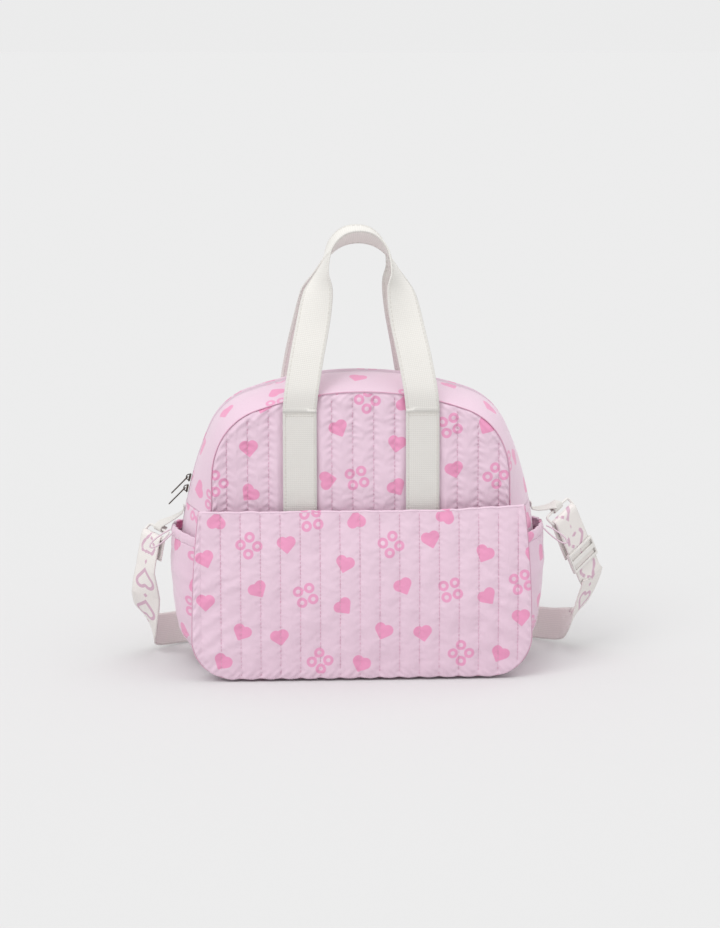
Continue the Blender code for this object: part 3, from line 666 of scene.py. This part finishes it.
def build_panel(facing, cloth, thread):
    """The domed quilted panel, front (-1) or rear (1), as one padded sheet sewn into the gussets."""
    up, down = rims(0.0008, SEAM_Y)
    grid, gap = dome_grid(up, down, 301, 84, 80) if facing < 0 else dome_grid(up, down, 221, 62, 60)
    height = front_height if facing < 0 else rear_height
    x, z = grid[..., 0], grid[..., 1]
    seam = np.clip(gap / 0.009, 0, 1) ** 0.5
    sunk = 0.0016 * (1 - np.clip(gap / 0.004, 0, 1))
    y = facing * (SEAM_Y + crown(x, z) + height(x, z) * seam - sunk + pucker(x, z, gap))
    printed = print_fields(x, z, PANEL_MOTIFS) if facing < 0 else tiled(x, z, (0.06, 0.02))
    name = "front" if facing < 0 else "back"
    piece = sheet_mesh(
        name + "_cloth", np.stack([x, y, z], 2), np.stack([x, z], 2), cloth, QUILT, printed, (0, 0, 0.15)
    )
    outer = up[len(up) // 2:]

    def surface(xs, zs):
        return facing * (SEAM_Y + crown(xs, zs) + height(xs, zs) + 0.0006)

    def low(_):
        return POCKET_TOP + 0.002 if facing < 0 else 0.012

    def high(x_at):
        return float(np.interp(abs(x_at), np.abs(outer[:, 0]), outer[:, 1])) - 0.003

    line_at, reach = (PANEL_LINE, 0.158) if facing < 0 else (0.0, 0.140)
    runs = stitch_columns(surface, line_at, PANEL_PITCH, low, high, -reach, reach, (-LEG_X, LEG_X))
    seams = stitch_mesh(name + "_quilt_stitches", runs, thread, pitch=0.0040 if facing < 0 else 0.005)
    # A darker pink tube along the panel's rim: painted seam shade, partly the seam's thread.
    edge, _ = resample(rims(0.0002, SEAM_Y)[0], 240)
    edge = np.stack([edge[:, 0], np.full(240, facing * (SEAM_Y + 0.0002)), edge[:, 1]], 1)
    seam_shade_line = seam_shade_tube(name + "_seam_shade_line", edge, thread)
    if facing < 0:
        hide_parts("front_panel_upper", "front_panel_lower")
        for made in (piece, seams, seam_shade_line):
            fold_blend(made)
    else:
        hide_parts("back_panel")
        for made in (piece, seams, seam_shade_line):
            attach(made, "bag_body")


def fold_blend(piece):
    """Bakes a piece's placement into its mesh; nothing is bent."""
    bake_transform(piece)


def side_blend(piece):
    """Bakes a gusset's placement into its mesh; nothing is stretched."""
    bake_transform(piece)


POCKET_LIP = POCKET_TOP + 0.0055


def pocket_rim(inset=0.0):
    """The pocket's U from its top left corner round to its top right."""
    r, half, low = POCKET_CORNER, POCKET_HALF - inset, 0.0035 + inset
    z = np.linspace(POCKET_LIP, low + r, 48)
    left = np.stack([-half + 0.008 * (z / POCKET_TOP) ** 3, z], 1)
    corner = arc((-half + r, low + r), r, math.pi, 1.5 * math.pi, 24)
    side = np.concatenate([left[:-1], corner])
    return np.concatenate([side, (side * (-1.0, 1.0))[::-1]])


def pocket_height(x, z):
    puff = quilt(x, z, POCKET_LINE, POCKET_PITCH, 0.0028, 21, 0.8)
    edge = np.clip((np.abs(x) - 0.115) / 0.05, 0, 1) * np.clip((0.150 - z) / 0.03, 0, 1)
    swing = 3.0 * waves(x, z, 25, 0.05, 2)
    pull = 0.0006 * edge * np.sin((np.abs(x) * 0.8 + z) * 2 * math.pi / 0.023 + 1.3 + swing)
    return puff + 0.0015 * waves(x, z, 23, 0.055) + 0.0006 * waves(x, z, 24, 0.022) + pull - 0.0012


def lip_rise(x, z):
    """The mouth's edge: a little higher at the right, scalloped between the stitch lines."""
    rise = 0.0055 * np.clip((x - 0.070) / 0.115, 0, 1) ** 1.5 + 0.0009 * waves(x, x * 0, 41, 0.03)
    scallop = 0.0009 * np.abs(np.sin(math.pi * (x - POCKET_LINE) / POCKET_PITCH)) ** 0.6
    return (rise + scallop) * np.clip(z / POCKET_LIP, 0, 1) ** 8


def build_pocket(cloth, thread, smooth):
    build_pocket_face(cloth, thread)
    build_pocket_gusset(smooth)
    build_pocket_lip(cloth)


def build_pocket_face(cloth, thread):
    rim, _ = resample(pocket_rim(0.0006), 331)
    top = np.linspace(rim[0], rim[-1], 331)
    v = np.linspace(0, 1, 128)[:, None, None]
    grid = top[None] * (1 - v) + rim[None] * v
    x, z = grid[..., 0], grid[..., 1]
    gap = np.linalg.norm(grid - rim[None], axis=2)
    seam = np.clip(gap / 0.008, 0, 1) ** 0.5
    lobe = np.abs(np.sin(math.pi * (x - POCKET_LINE) / POCKET_PITCH)) ** 0.6
    low = np.clip(1 - z / 0.022, 0, 1) ** 0.7
    y = -(pocket_crown(x, z) + pocket_height(x, z) * seam + pucker(x, z, gap))
    y = y - 0.0022 * lobe * low * (1 - low)
    z_out = z - 0.0026 * lobe * low + 0.0008 * low + lip_rise(x, z)
    piece = sheet_mesh(
        "pocket_cloth", np.stack([x, y, z_out], 2), np.stack([x, z], 2), cloth, QUILT,
        print_fields(x, z, POCKET_MOTIFS), (0, 0, 0.08),
    )
    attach(piece, "bag_body")
    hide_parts("pocket_panel")

    def surface(xs, zs):
        return -(pocket_crown(xs, zs) + pocket_height(xs, zs) + 0.0006)

    def bottom(x_at):
        return float(np.interp(x_at, rim[80:-80, 0], rim[80:-80, 1])) + 0.002

    runs = stitch_columns(
        surface, POCKET_LINE, POCKET_PITCH, bottom, lambda x_at: POCKET_LIP - 0.001, -0.178, 0.178
    )
    seams = stitch_mesh("pocket_quilt_stitches", runs, thread)
    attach(seams, "bag_body")

    # A darker pink tube along the pocket's rim: painted seam shade, partly the seam's thread.
    edge, _ = resample(pocket_rim(0.0001), 300)
    sill = edge[:, 1] + lip_rise(edge[:, 0], edge[:, 1])
    edge = np.stack([edge[:, 0], -(pocket_face(edge[:, 1]) + 0.0004), sill], 1)
    seam_shade_line = seam_shade_tube("pocket_seam_shade_line", edge, thread)
    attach(seam_shade_line, "bag_body")


def build_pocket_gusset(smooth):
    """The strip that flares from the body's seam out to the pocket's face."""
    line, run = resample(pocket_rim(0.0), 260)
    share = np.linspace(0, 1, 26)[:, None]
    x, z = np.broadcast_to(line[:, 0], (26, 260)), np.broadcast_to(line[:, 1], (26, 260))
    u = np.broadcast_to(run, (26, 260))
    y = -SEAM_Y - 0.0006 - (pocket_face(z) - SEAM_Y - 0.0004) * share
    soft = 0.0016 * np.sin(math.pi * share) * waves(u, y, 31, 0.020)
    widen = 0.930 + 0.070 * (1 - (1 - share) ** 1.6) + soft / 0.19
    z = np.maximum(z - soft * np.clip(1 - z / 0.05, 0, 1), 0.0006) + lip_rise(x, z) * share
    gusset = sheet_mesh(
        "pocket_gusset_cloth", np.stack([x * widen, y, z], 2), np.stack([u, y], 2), smooth, GUSSET_CLOTH,
        tiled(u, y, (0.03, 0.09)), (0, 0, 0.10),
    )
    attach(gusset, "bag_body")
    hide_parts("pocket_gusset")


def build_pocket_lip(cloth):
    """The mouth's rolled edge."""
    rim, _ = resample(pocket_rim(0.0006), 331)
    xs = np.linspace(rim[0, 0] + 0.0006, rim[-1, 0] - 0.0006, 340)
    turn = np.linspace(0, 2 * math.pi, 17)
    level = np.full(xs.shape, POCKET_LIP)
    fade = np.clip((np.abs(rim[0, 0]) - np.abs(xs)) / 0.008, 0.0, 1) ** 0.5
    cy = -(pocket_crown(xs, level) + pocket_height(xs, level) * fade - QUILT / 2)
    round_y = QUILT / 2 + 0.0004
    tube = np.stack(
        [
            np.broadcast_to(xs, (17, 340)),
            cy[None] + round_y * np.cos(turn)[:, None],
            POCKET_LIP + lip_rise(xs, level)[None] + 0.0016 * np.sin(turn)[:, None],
        ],
        2,
    )
    u = np.broadcast_to(xs, (17, 340))
    v = np.broadcast_to(turn[:, None] * 0.0018 + POCKET_LIP - 0.002, (17, 340))
    hem = sheet_mesh("pocket_lip", tube, np.stack([u, v], 2), cloth, 0, print_fields(u, v, POCKET_MOTIFS))
    fix_outward(hem)
    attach(hem, "bag_body")
    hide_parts("pocket_binding")


def fix_outward(obj):
    """Welds a tube along its length and turns its faces outwards."""
    made = bmesh.new()
    made.from_mesh(obj.data)
    bmesh.ops.remove_doubles(made, verts=made.verts, dist=1e-6)
    bmesh.ops.recalc_face_normals(made, faces=made.faces)
    made.to_mesh(obj.data)
    made.free()


# ---------- gussets and side pockets ----------


def cloth_band(name, node_name, outline, depths, cols, material, seed, shift, wave, blend):
    """A plain panel along an outline, from one depth to another, with slack between its seams."""
    line, run = resample(outline, cols)
    points = at_depth(line, depths)
    n = normals_of(points)
    inward = (n * (points - np.array((0, 0, 0.15)))).sum() < 0
    n = -n if inward else n
    u = np.broadcast_to(run, points.shape[:2])
    v = np.broadcast_to(depths[:, None], points.shape[:2])
    edge = np.minimum(depths - depths[0], depths[-1] - depths)
    fade = np.clip(edge / 0.012, 0, 1)[:, None]
    wrinkle = wave * waves(u, v, seed, 0.045) * (0.3 + 0.7 * fade)
    points = points + n * (wrinkle - wave * 0.4)[..., None]
    piece = sheet_mesh(name, points, np.stack([u, v], 2), material, CLOTH, tiled(u, v, shift), (0, 0, 0.15))
    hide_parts(node_name)
    if blend:
        blend(piece)
    else:
        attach(piece, "bag_body")


def build_gussets(smooth):
    side = side_half(0.0)
    left = (side * (-1.0, 1.0))[::-1]
    top = mirrored(top_half(0.0))
    base_half = CORNER_C[0] - 0.0008
    base = np.stack([np.linspace(-base_half, base_half, 60), np.zeros(60)], 1)
    whole = np.linspace(-SEAM_Y, SEAM_Y, 58)
    front = np.linspace(-SEAM_Y, -ZIP_GAP, 28)
    rear = np.linspace(ZIP_GAP, SEAM_Y, 26)
    under = np.linspace(-SEAM_Y, SEAM_Y, 24)
    for name, node_name, outline, depths, cols, seed, shift, wave, blend in (
        ("side_cloth_right", "side_gusset_right", side, whole, 120, 51, (0.02, 0.07), 0.0006, side_blend),
        ("side_cloth_left", "side_gusset_left", left, whole, 120, 52, (0.11, 0.03), 0.0006, side_blend),
        ("top_cloth_front", "zip_gusset_front", top, front, 260, 53, (0.045, 0.055), 0.0006, side_blend),
        ("top_cloth_rear", "zip_gusset_rear", top, rear, 220, 54, (0.0, 0.12), 0.0006, None),
        ("base_cloth", "base_panel", base, under, 90, 55, (0.0, 0.0), 0.0, None),
    ):
        cloth_band(name, node_name, outline, depths, cols, smooth, seed, shift, wave, blend)


def side_pocket_line(sign, y, turns, extra):
    """The side pocket's run at depth y, by its angles on the body's arcs, standing off as it rises."""
    ease = 1 - (y / 0.064) ** 4
    corner = turns < CORNER_A - 1e-6
    cx = np.where(corner, CORNER_C[0], SIDE_C[0])
    cz = np.where(corner, CORNER_C[1], SIDE_C[1])
    radius = np.where(corner, CORNER_R, SIDE_R)
    rise = np.minimum(1.0, (turns - SIDE_POCKET_LOW) / 0.9)
    out = 0.0010 + SWELL * ease * np.maximum(rise, 0) ** 0.7 + extra
    line = np.stack([cx + (radius + out) * np.cos(turns), cz + (radius + out) * np.sin(turns)], 1)
    return at_depth(line, [y])[0] * (sign, 1.0, 1.0)


def side_pocket_sheet(name, node_name, sign, rows, run, up, smooth, thickness):
    """A gathered sheet over rows of points, with the print starting up metres along its run."""
    points = np.array(rows)
    u = np.broadcast_to(run, points.shape[:2])
    v = np.broadcast_to(SIDE_POCKET_Y[:, None], points.shape[:2])
    printed = tiled(v, u + up, (0.05 + 0.04 * sign, 0.06))
    piece = sheet_mesh(name, points, np.stack([u, v], 2), smooth, thickness, printed, (0, 0, 0.10))
    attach(piece, "bag_body")
    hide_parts(node_name)


def build_side_pockets(smooth):
    high = side_angle(SIDE_TOP)
    turns = np.concatenate([np.linspace(SIDE_POCKET_LOW, CORNER_A, 40)[:-1], np.linspace(CORNER_A, high, 70)])
    hem = np.linspace(high + 0.0002, high + 0.0012 + 0.011 / SIDE_R, 12)
    ridge = 0.0012 * np.sin(math.pi * (hem - hem[0]) / (hem[-1] - hem[0]))
    near_hem = np.clip((turns - high + 0.09) / 0.09, 0, 1)
    for name, sign in (("left", -1), ("right", 1)):
        rows, casing = [], []
        for y in SIDE_POCKET_Y:
            beat = 2 * math.pi * y / GATHER
            fold = 0.0012 * np.exp(-(((turns - 0.02 - y * 0.6) / 0.02) ** 2))
            soft = 0.0011 * waves(turns * 0.4, np.full(turns.shape, y), 61 + sign, 0.03)
            gather = 0.0009 * np.sin(beat + turns * 9) * near_hem
            rows.append(side_pocket_line(sign, y, turns, fold + soft + gather))
            casing.append(side_pocket_line(sign, y, hem, ridge + 0.0009 * math.sin(beat + 1.0)))
        run = np.concatenate([[0], np.cumsum(np.linalg.norm(np.diff(rows[28], axis=0), axis=1))])
        side_pocket_sheet(
            "side_pocket_cloth_" + name, "side_pocket_" + name, sign, rows, run, 0.0, smooth,
            SIDE_POCKET_CLOTH,
        )
        side_pocket_sheet(
            "side_pocket_casing_" + name, "side_pocket_hem_" + name, sign, casing,
            np.linspace(0, 0.012, len(hem)), 0.165, smooth, CASING,
        )


# ---------- webbing ----------


def smooth_path(stations, steps):
    """A smooth curve through the stations' points, with their across vectors carried along it."""
    points = [np.array(s[0], float) for s in stations]
    across = [np.array(s[1], float) for s in stations]
    last = len(stations) - 1
    out, wide = [], []
    for i in range(last):
        p0, p1, p2, p3 = points[max(i - 1, 0)], points[i], points[i + 1], points[min(i + 2, last)]
        for k in range(steps):
            t = k / steps
            out.append(
                p0 * (-0.5 * t + t * t - 0.5 * t**3)
                + p1 * (1 - 2.5 * t * t + 1.5 * t**3)
                + p2 * (0.5 * t + 2 * t * t - 1.5 * t**3)
                + p3 * (-0.5 * t * t + 0.5 * t**3)
            )
            wide.append(across[i] * (1 - t) + across[i + 1] * t)
    out.append(points[-1])
    wide.append(across[-1])
    return np.array(out), np.array(wide)


def soften(values, rounds):
    """Evens out values along a path, keeping its ends."""
    for _ in range(rounds):
        inner = 0.25 * values[:-2] + 0.5 * values[1:-1] + 0.25 * values[2:]
        values = np.concatenate([values[:1], inner, values[-1:]])
    return values


def band_mesh(name, path, across, thickness, material, cols=11, fields=None):
    """Webbing: a flat band squared to its path and thickened evenly. Returns it, its run and its frame."""
    ahead = np.gradient(path, axis=0)
    ahead /= np.linalg.norm(ahead, axis=1, keepdims=True)
    flat = across - ahead * (across * ahead).sum(1, keepdims=True)
    flat /= np.linalg.norm(flat, axis=1, keepdims=True)
    n = np.cross(ahead, flat)
    run = np.concatenate([[0], np.cumsum(np.linalg.norm(np.diff(path, axis=0), axis=1))])
    s = np.linspace(-0.5, 0.5, cols)
    points = path[:, None] + flat[:, None] * (s * BAND)[None, :, None]
    u = np.broadcast_to(s * BAND, points.shape[:2])
    v = np.broadcast_to(run[:, None], points.shape[:2])
    points = points + normals_of(points) * thickness / 2
    printed = fields(u, v) if fields else ()
    uv = np.stack([u, v], 2)
    made = sheet_mesh(name, points, uv, material, thickness, printed, one_sided=bool(fields))
    return made, run, flat, n


PANEL_AT_STITCH = SEAM_Y + float(crown(np.array(LEG_X), np.array(STITCH_Z)))


def handle_stations(facing):
    """Left foot to right foot, as (point, across): the legs face the front, the arch turns edge on."""
    foot_y = PANEL_AT_STITCH + 0.0016
    half = [
        ((-LEG_X, foot_y, STITCH_Z + 0.0004), (1.0, 0.0, 0.0)),
        ((-0.0665, foot_y + 0.001, 0.328), (1.0, 0.0, 0.05)),
        ((-0.0605, foot_y - 0.010, 0.362), (1.0, 0.0, 0.08)),
        ((-0.0530, 0.0480, 0.398), (0.98, -0.1, 0.10)),
        ((-0.0470, 0.0370, 0.431), (0.85, -0.45, 0.10)),
        ((-0.0430, 0.0300, 0.452), (0.35, -0.90, 0.15)),
        ((-0.0330, 0.0235, 0.475), (0.05, -0.92, 0.30)),
        ((-0.0180, 0.0215, 0.4895), (0.0, -0.90, 0.42)),
    ]
    top = ((0.0, 0.0215, HANDLE_TOP_Z), (0.0, -0.90, 0.44))
    whole = half + [top] + [((-p[0], p[1], p[2]), (-w[0], w[1], w[2])) for p, w in reversed(half)]
    return [((p[0], facing * p[1], p[2]), (w[0], -facing * w[1], w[2])) for p, w in whole]


STITCH_EDGE = BAND / 2 - 0.0028


def build_handles(web, lit_handle_web, thread):
    for facing, name in ((-1, "front"), (1, "rear")):
        path, across = smooth_path(handle_stations(facing), 16)
        across = soften(across, 40)
        foot = facing * (PANEL_AT_STITCH + 0.0031)
        for end in (0, -1):
            path[end] = (path[end][0], foot, STITCH_Z - 0.0030)
        # The free handle is drawn in the lighter webbing: painted light, not a different cloth.
        piece, _, flat, n = band_mesh("handle_webbing_" + name, path, across, HANDLE_BAND, lit_handle_web)
        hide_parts("handle_" + name)
        runs = []
        for edge in (-1, 1):
            for face in (-1, 1):
                runs.append((path + flat * edge * STITCH_EDGE + n * face * 0.00105)[1:-1])
        seams = stitch_mesh("handle_stitches_" + name, runs, thread, pitch=0.0052, length=0.0034)
        for made in (piece, seams):
            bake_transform(made)
        build_legs(facing, name, web, thread)


def build_legs(facing, name, web, thread):
    """The two strips of webbing sewn flat on a panel, stitched along both edges and below the handle."""
    low = POCKET_TOP - 0.020 if facing < 0 else 0.030
    count = int((STITCH_Z - low) / 0.0025)
    z = np.linspace(low, STITCH_Z - 0.0002, count)
    for side, sign in (("left", -1), ("right", 1)):
        s = np.linspace(-BAND / 2, BAND / 2, 13)
        x = np.broadcast_to(sign * LEG_X + s, (count, 13))
        zz = np.broadcast_to(z[:, None], (count, 13))
        lift = SEAM_Y + crown(x, zz) + 0.0026 - 0.0004 * (np.abs(s) / (BAND / 2)) ** 6
        lift = lift + 0.00035 * waves(x, zz, 71 + sign, 0.03)
        points = np.stack([x, facing * lift, zz], 2)
        uv = np.stack([x - sign * LEG_X, zz], 2)
        piece = sheet_mesh(f"leg_webbing_{name}_{side}", points, uv, web, LEG_BAND, (), (0, 0, 0.15))

        def on_leg(xs, zs):
            lift = SEAM_Y + crown(xs, zs) + 0.00275 + 0.00035 * waves(xs, zs, 71 + sign, 0.03)
            return np.stack([xs, facing * lift, zs], 1)

        runs = []
        zs = np.linspace(low + 0.002, STITCH_Z - 0.003, 120)
        for edge in (-1, 1):
            runs.append(on_leg(np.full(120, sign * LEG_X + edge * STITCH_EDGE), zs))
        across_x = sign * LEG_X + np.linspace(-STITCH_EDGE, STITCH_EDGE, 30)
        for level in (STITCH_Z - 0.005, STITCH_Z - 0.0072):
            runs.append(on_leg(across_x, np.full(30, level)))
        seams = stitch_mesh(f"leg_stitches_{name}_{side}", runs, thread)
        if facing < 0:
            fold_blend(piece)
            fold_blend(seams)
            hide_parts(f"handle_leg_front_{side}_lower", f"handle_leg_front_{side}_upper")
        else:
            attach(piece, "bag_body")
            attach(seams, "bag_body")
            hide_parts(f"handle_leg_rear_{side}")


# ---------- strap, rings, cords ----------

# Each ring's lower bar: its middle, its direction, the way the strap leaves and the way the ring hangs
RINGS = {
    "left": ((-0.2362, 0.004, 0.1480), (0.55, -0.83, -0.10), (-0.16, 0.0, -0.98), (-0.80, 0.0, -0.60)),
    "right": ((0.2390, 0.000, 0.1680), (0.62, 0.55, 0.42), (0.22, 0.10, -0.96), (0.85, 0.0, -0.53)),
}


def unit(v):
    v = np.asarray(v, float)
    return v / np.linalg.norm(v)


def ring_axes(side):
    """The lower bar's middle and direction, the strap's way down and the way its outer face looks."""
    bar, along, strap_way, _ = (np.array(v, float) for v in RINGS[side])
    along = unit(along)
    down = unit(strap_way - along * strap_way.dot(along))
    front = np.cross(along, down)
    front = -front if front[1] > 0 else front
    return bar, along, down, unit(front)


def around_bar(bar, down, front, r):
    """Five points over a ring's bar, from the strap's back to its front."""
    return [
        bar - front * r,
        bar - down * r * 0.7 - front * r * 0.7,
        bar - down * r,
        bar - down * r * 0.7 + front * r * 0.7,
        bar + front * r,
    ]


def strap_stations():
    """The strap's route, as (point, across), from its end under the slider to its end at the left ring."""
    bar_r, wide_r, down_r, front_r = ring_axes("right")
    bar_l, wide_l, down_l, front_l = ring_axes("left")
    r = RING_BAR + 0.0018
    slide = bar_r + down_r * 0.056
    right = [
        slide - down_r * 0.004 - front_r * 0.0052,
        slide - down_r * 0.020 - front_r * 0.0050,
        bar_r + down_r * 0.008 - front_r * r * 1.1,
        *around_bar(bar_r, down_r, front_r, r),
        bar_r + down_r * 0.012 + front_r * r,
        slide - down_r * 0.036 + front_r * r,
        slide - down_r * 0.027 + front_r * r,
        slide + front_r * r,
        slide + down_r * 0.027 + front_r * r,
        slide + down_r * 0.034 + front_r * r,
    ]
    behind = [
        ((0.2570, 0.028, 0.040), (0.55, 0.35, 0.80)),
        ((0.2440, 0.058, 0.0245), (0.12, 0.25, 1.0)),
        ((0.2130, 0.090, 0.0195), (0.0, 0.36, 0.93)),
        ((0.1500, 0.110, 0.0190), (0.0, 0.42, 0.91)),
        ((0.0500, 0.119, 0.0190), (0.0, 0.42, 0.91)),
        ((-0.0500, 0.119, 0.0190), (0.0, 0.42, 0.91)),
        ((-0.1500, 0.110, 0.0190), (0.0, 0.42, 0.91)),
        ((-0.2070, 0.087, 0.0195), (0.0, 0.36, 0.93)),
        ((-0.2360, 0.055, 0.0250), (-0.12, 0.25, 1.0)),
        ((-0.2450, 0.028, 0.046), (-0.60, 0.35, 0.70)),
        ((-0.2460, 0.010, 0.076), (-0.85, 0.45, 0.25)),
    ]
    left = [
        bar_l + down_l * 0.040 + front_l * r,
        bar_l + down_l * 0.012 + front_l * r,
        *reversed(around_bar(bar_l, down_l, front_l, r)),
        bar_l + down_l * 0.010 - front_l * r,
        bar_l + down_l * 0.026 - front_l * r * 0.9,
    ]
    return [(point, wide_r) for point in right] + behind + [(point, -wide_l) for point in left]


def strap_print(u, v):
    """Outlined hearts woven down the middle, tips towards the strap's end, a small diamond between them."""
    pitch, size = 0.0420, 0.0250
    local = (v + 0.008) % pitch - pitch / 2
    heart = heart_distance(-u / size, -(local - 0.0150) / size) * size * 1000
    outline = np.abs(heart + 2.2) - 2.0
    diamond = (np.abs(u) + np.abs(np.abs(local) - pitch / 2)) * 1000 - 3.0
    return [("heart", np.minimum(outline, diamond))]


def build_strap(web):
    path, across = smooth_path(strap_stations(), 10)
    even, _ = resample(np.concatenate([path, across], 1), 640)
    path, across = even[:, :3], soften(even[:, 3:], 12)
    piece, run, _, _ = band_mesh("strap_webbing", path, across, STRAP_BAND, web, 15, strap_print)
    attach(piece, "bag_body")
    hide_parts("strap")
    tuple(path[0])


def build_drawcords(cord_look):
    for name, sign in (("left", -1), ("right", 1)):
        root = np.array((sign * 0.2140, -0.0300, 0.160))
        tip = np.array((sign * 0.2390, -0.0340, 0.142))
        spine = tip - root
        wide = unit(np.cross((0.0, 0.35, 0.0), spine))
        points = []
        for t in np.linspace(0.0, 1.0, 31):
            turn = 2 * math.pi * t
            reach = 0.5 - 0.5 * math.cos(turn)
            bow = 0.0046 * math.sin(turn) * (0.35 + 0.65 * reach)
            feet = DRAWCORD * (1 if t < 0.5 else -1) * (1 - reach)
            points.append(root + spine * reach + wide * (bow + feet))
        curve = bpy.data.curves.new("drawcord_braid_" + name, "CURVE")
        curve.dimensions = "3D"
        curve.bevel_depth = DRAWCORD / 2
        curve.bevel_resolution = 3
        curve.use_fill_caps = True
        spline = curve.splines.new("POLY")
        spline.points.add(len(points) - 1)
        for slot, point in zip(spline.points, points):
            slot.co = (*point, 1.0)
        curve.materials.append(cord_look)
        obj = bpy.data.objects.new("drawcord_braid_" + name, curve)
        bpy.context.scene.collection.objects.link(obj)
        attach(obj, "bag_body")
        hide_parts("drawcord_" + name)


# ---------- CAD pieces that are shown as they are ----------

AS_BUILT = {
    "tape": (
        "zip_tape_front", "zip_tape_front_end", "zip_tape_rear",
        "zip_teeth_front", "zip_teeth_front_end", "zip_teeth_rear",
    ),
    "metal": ("zip_slider_a", "zip_slider_b", "zip_pull_a", "zip_pull_b"),
    "plastic": ("strap_ring_left", "strap_ring_right", "strap_slider"),
    "web": ("ring_tab_left", "ring_tab_right"),
    "lining": (
        "lining_back", "lining_front_upper", "lining_front_lower", "lining_side_left", "lining_side_right",
        "inner_pocket",
    ),
    "board": ("base_board",),
}


def dress(name, material):
    """Gives a CAD piece its look, without touching its shape."""
    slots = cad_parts[name].material_slots
    if not slots:
        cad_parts[name].data.materials.append(material)
    for slot in slots:
        slot.link = "OBJECT"
        slot.material = material


def webbing_material(name, grey, motifs=None, sheen=0.15):
    """Cream webbing with a coarse weave, by its lighter colour and one 0.04 darker."""
    light, dark = (*grey, 1.0), (*(c - 0.04 for c in grey), 1.0)
    return cloth_material(name, light, dark, motifs, 0.0022, 0.72, sheen, 0.28)


def main():
    build_stage()
    flower = (FLOWER_EDGE, FLOWER_FILL)
    quilted = cloth_material("quilted_print", PINK, PINK_DARK, HEART_PINK, flower=flower, crinkle=1.1)
    smooth = cloth_material(
        "smooth_print", PINK, PINK_DARK, HEART_PINK, roughness=0.42, flower=flower, crinkle=0.6
    )
    lining = cloth_material("lining_weave", (0.80, 0.70, 0.76, 1.0), (0.74, 0.64, 0.70, 1.0), pitch=0.0009)
    web = webbing_material("cream_weave", (0.79, 0.77, 0.735))
    # The free handles' webbing is the legs' cream made lighter, with more sheen: painted light for the extra
    # top light the leaning handles catch.
    lit_handle_web = webbing_material("handle_weave_painted_lighter", (0.86, 0.84, 0.80), sheen=0.2)
    strap_web = webbing_material("strap_weave", (0.90, 0.86, 0.83), (0.70, 0.47, 0.58, 1.0))
    tape = cloth_material("zip_tape_weave", (0.72, 0.52, 0.63, 1.0), (0.66, 0.47, 0.58, 1.0), pitch=0.0010)
    pink_thread = plain_material("pink_thread", (0.76, 0.44, 0.58, 1.0), 0.6, scale=900)
    cream_thread = plain_material("cream_thread", (0.78, 0.75, 0.70, 1.0), 0.65, scale=900)
    worn = (0.16, 0.12, 0.10, 1.0)
    metal = plain_material("gunmetal", (0.060, 0.052, 0.050, 1.0), 0.30, 1.0, 300, wear=worn)
    plastic = plain_material("white_plastic_moulded", (0.84, 0.82, 0.79, 1.0), 0.38, scale=120)
    cord_look = plain_material("cord_braid", (0.78, 0.62, 0.70, 1.0), 0.7, scale=1500, bump=0.0002)
    board = plain_material("board_sheet", (0.55, 0.55, 0.55, 1.0), 0.7)
    build_strap(strap_web)
    build_drawcords(cord_look)
    build_panel(-1, quilted, pink_thread)
    build_panel(1, quilted, pink_thread)
    build_pocket(quilted, pink_thread, smooth)
    build_gussets(smooth)
    build_side_pockets(smooth)
    build_handles(web, lit_handle_web, cream_thread)
    looks = {"tape": tape, "metal": metal, "plastic": plastic, "web": web, "lining": lining, "board": board}
    for look, names in AS_BUILT.items():
        for name in names:
            dress(name, looks[look])


main()
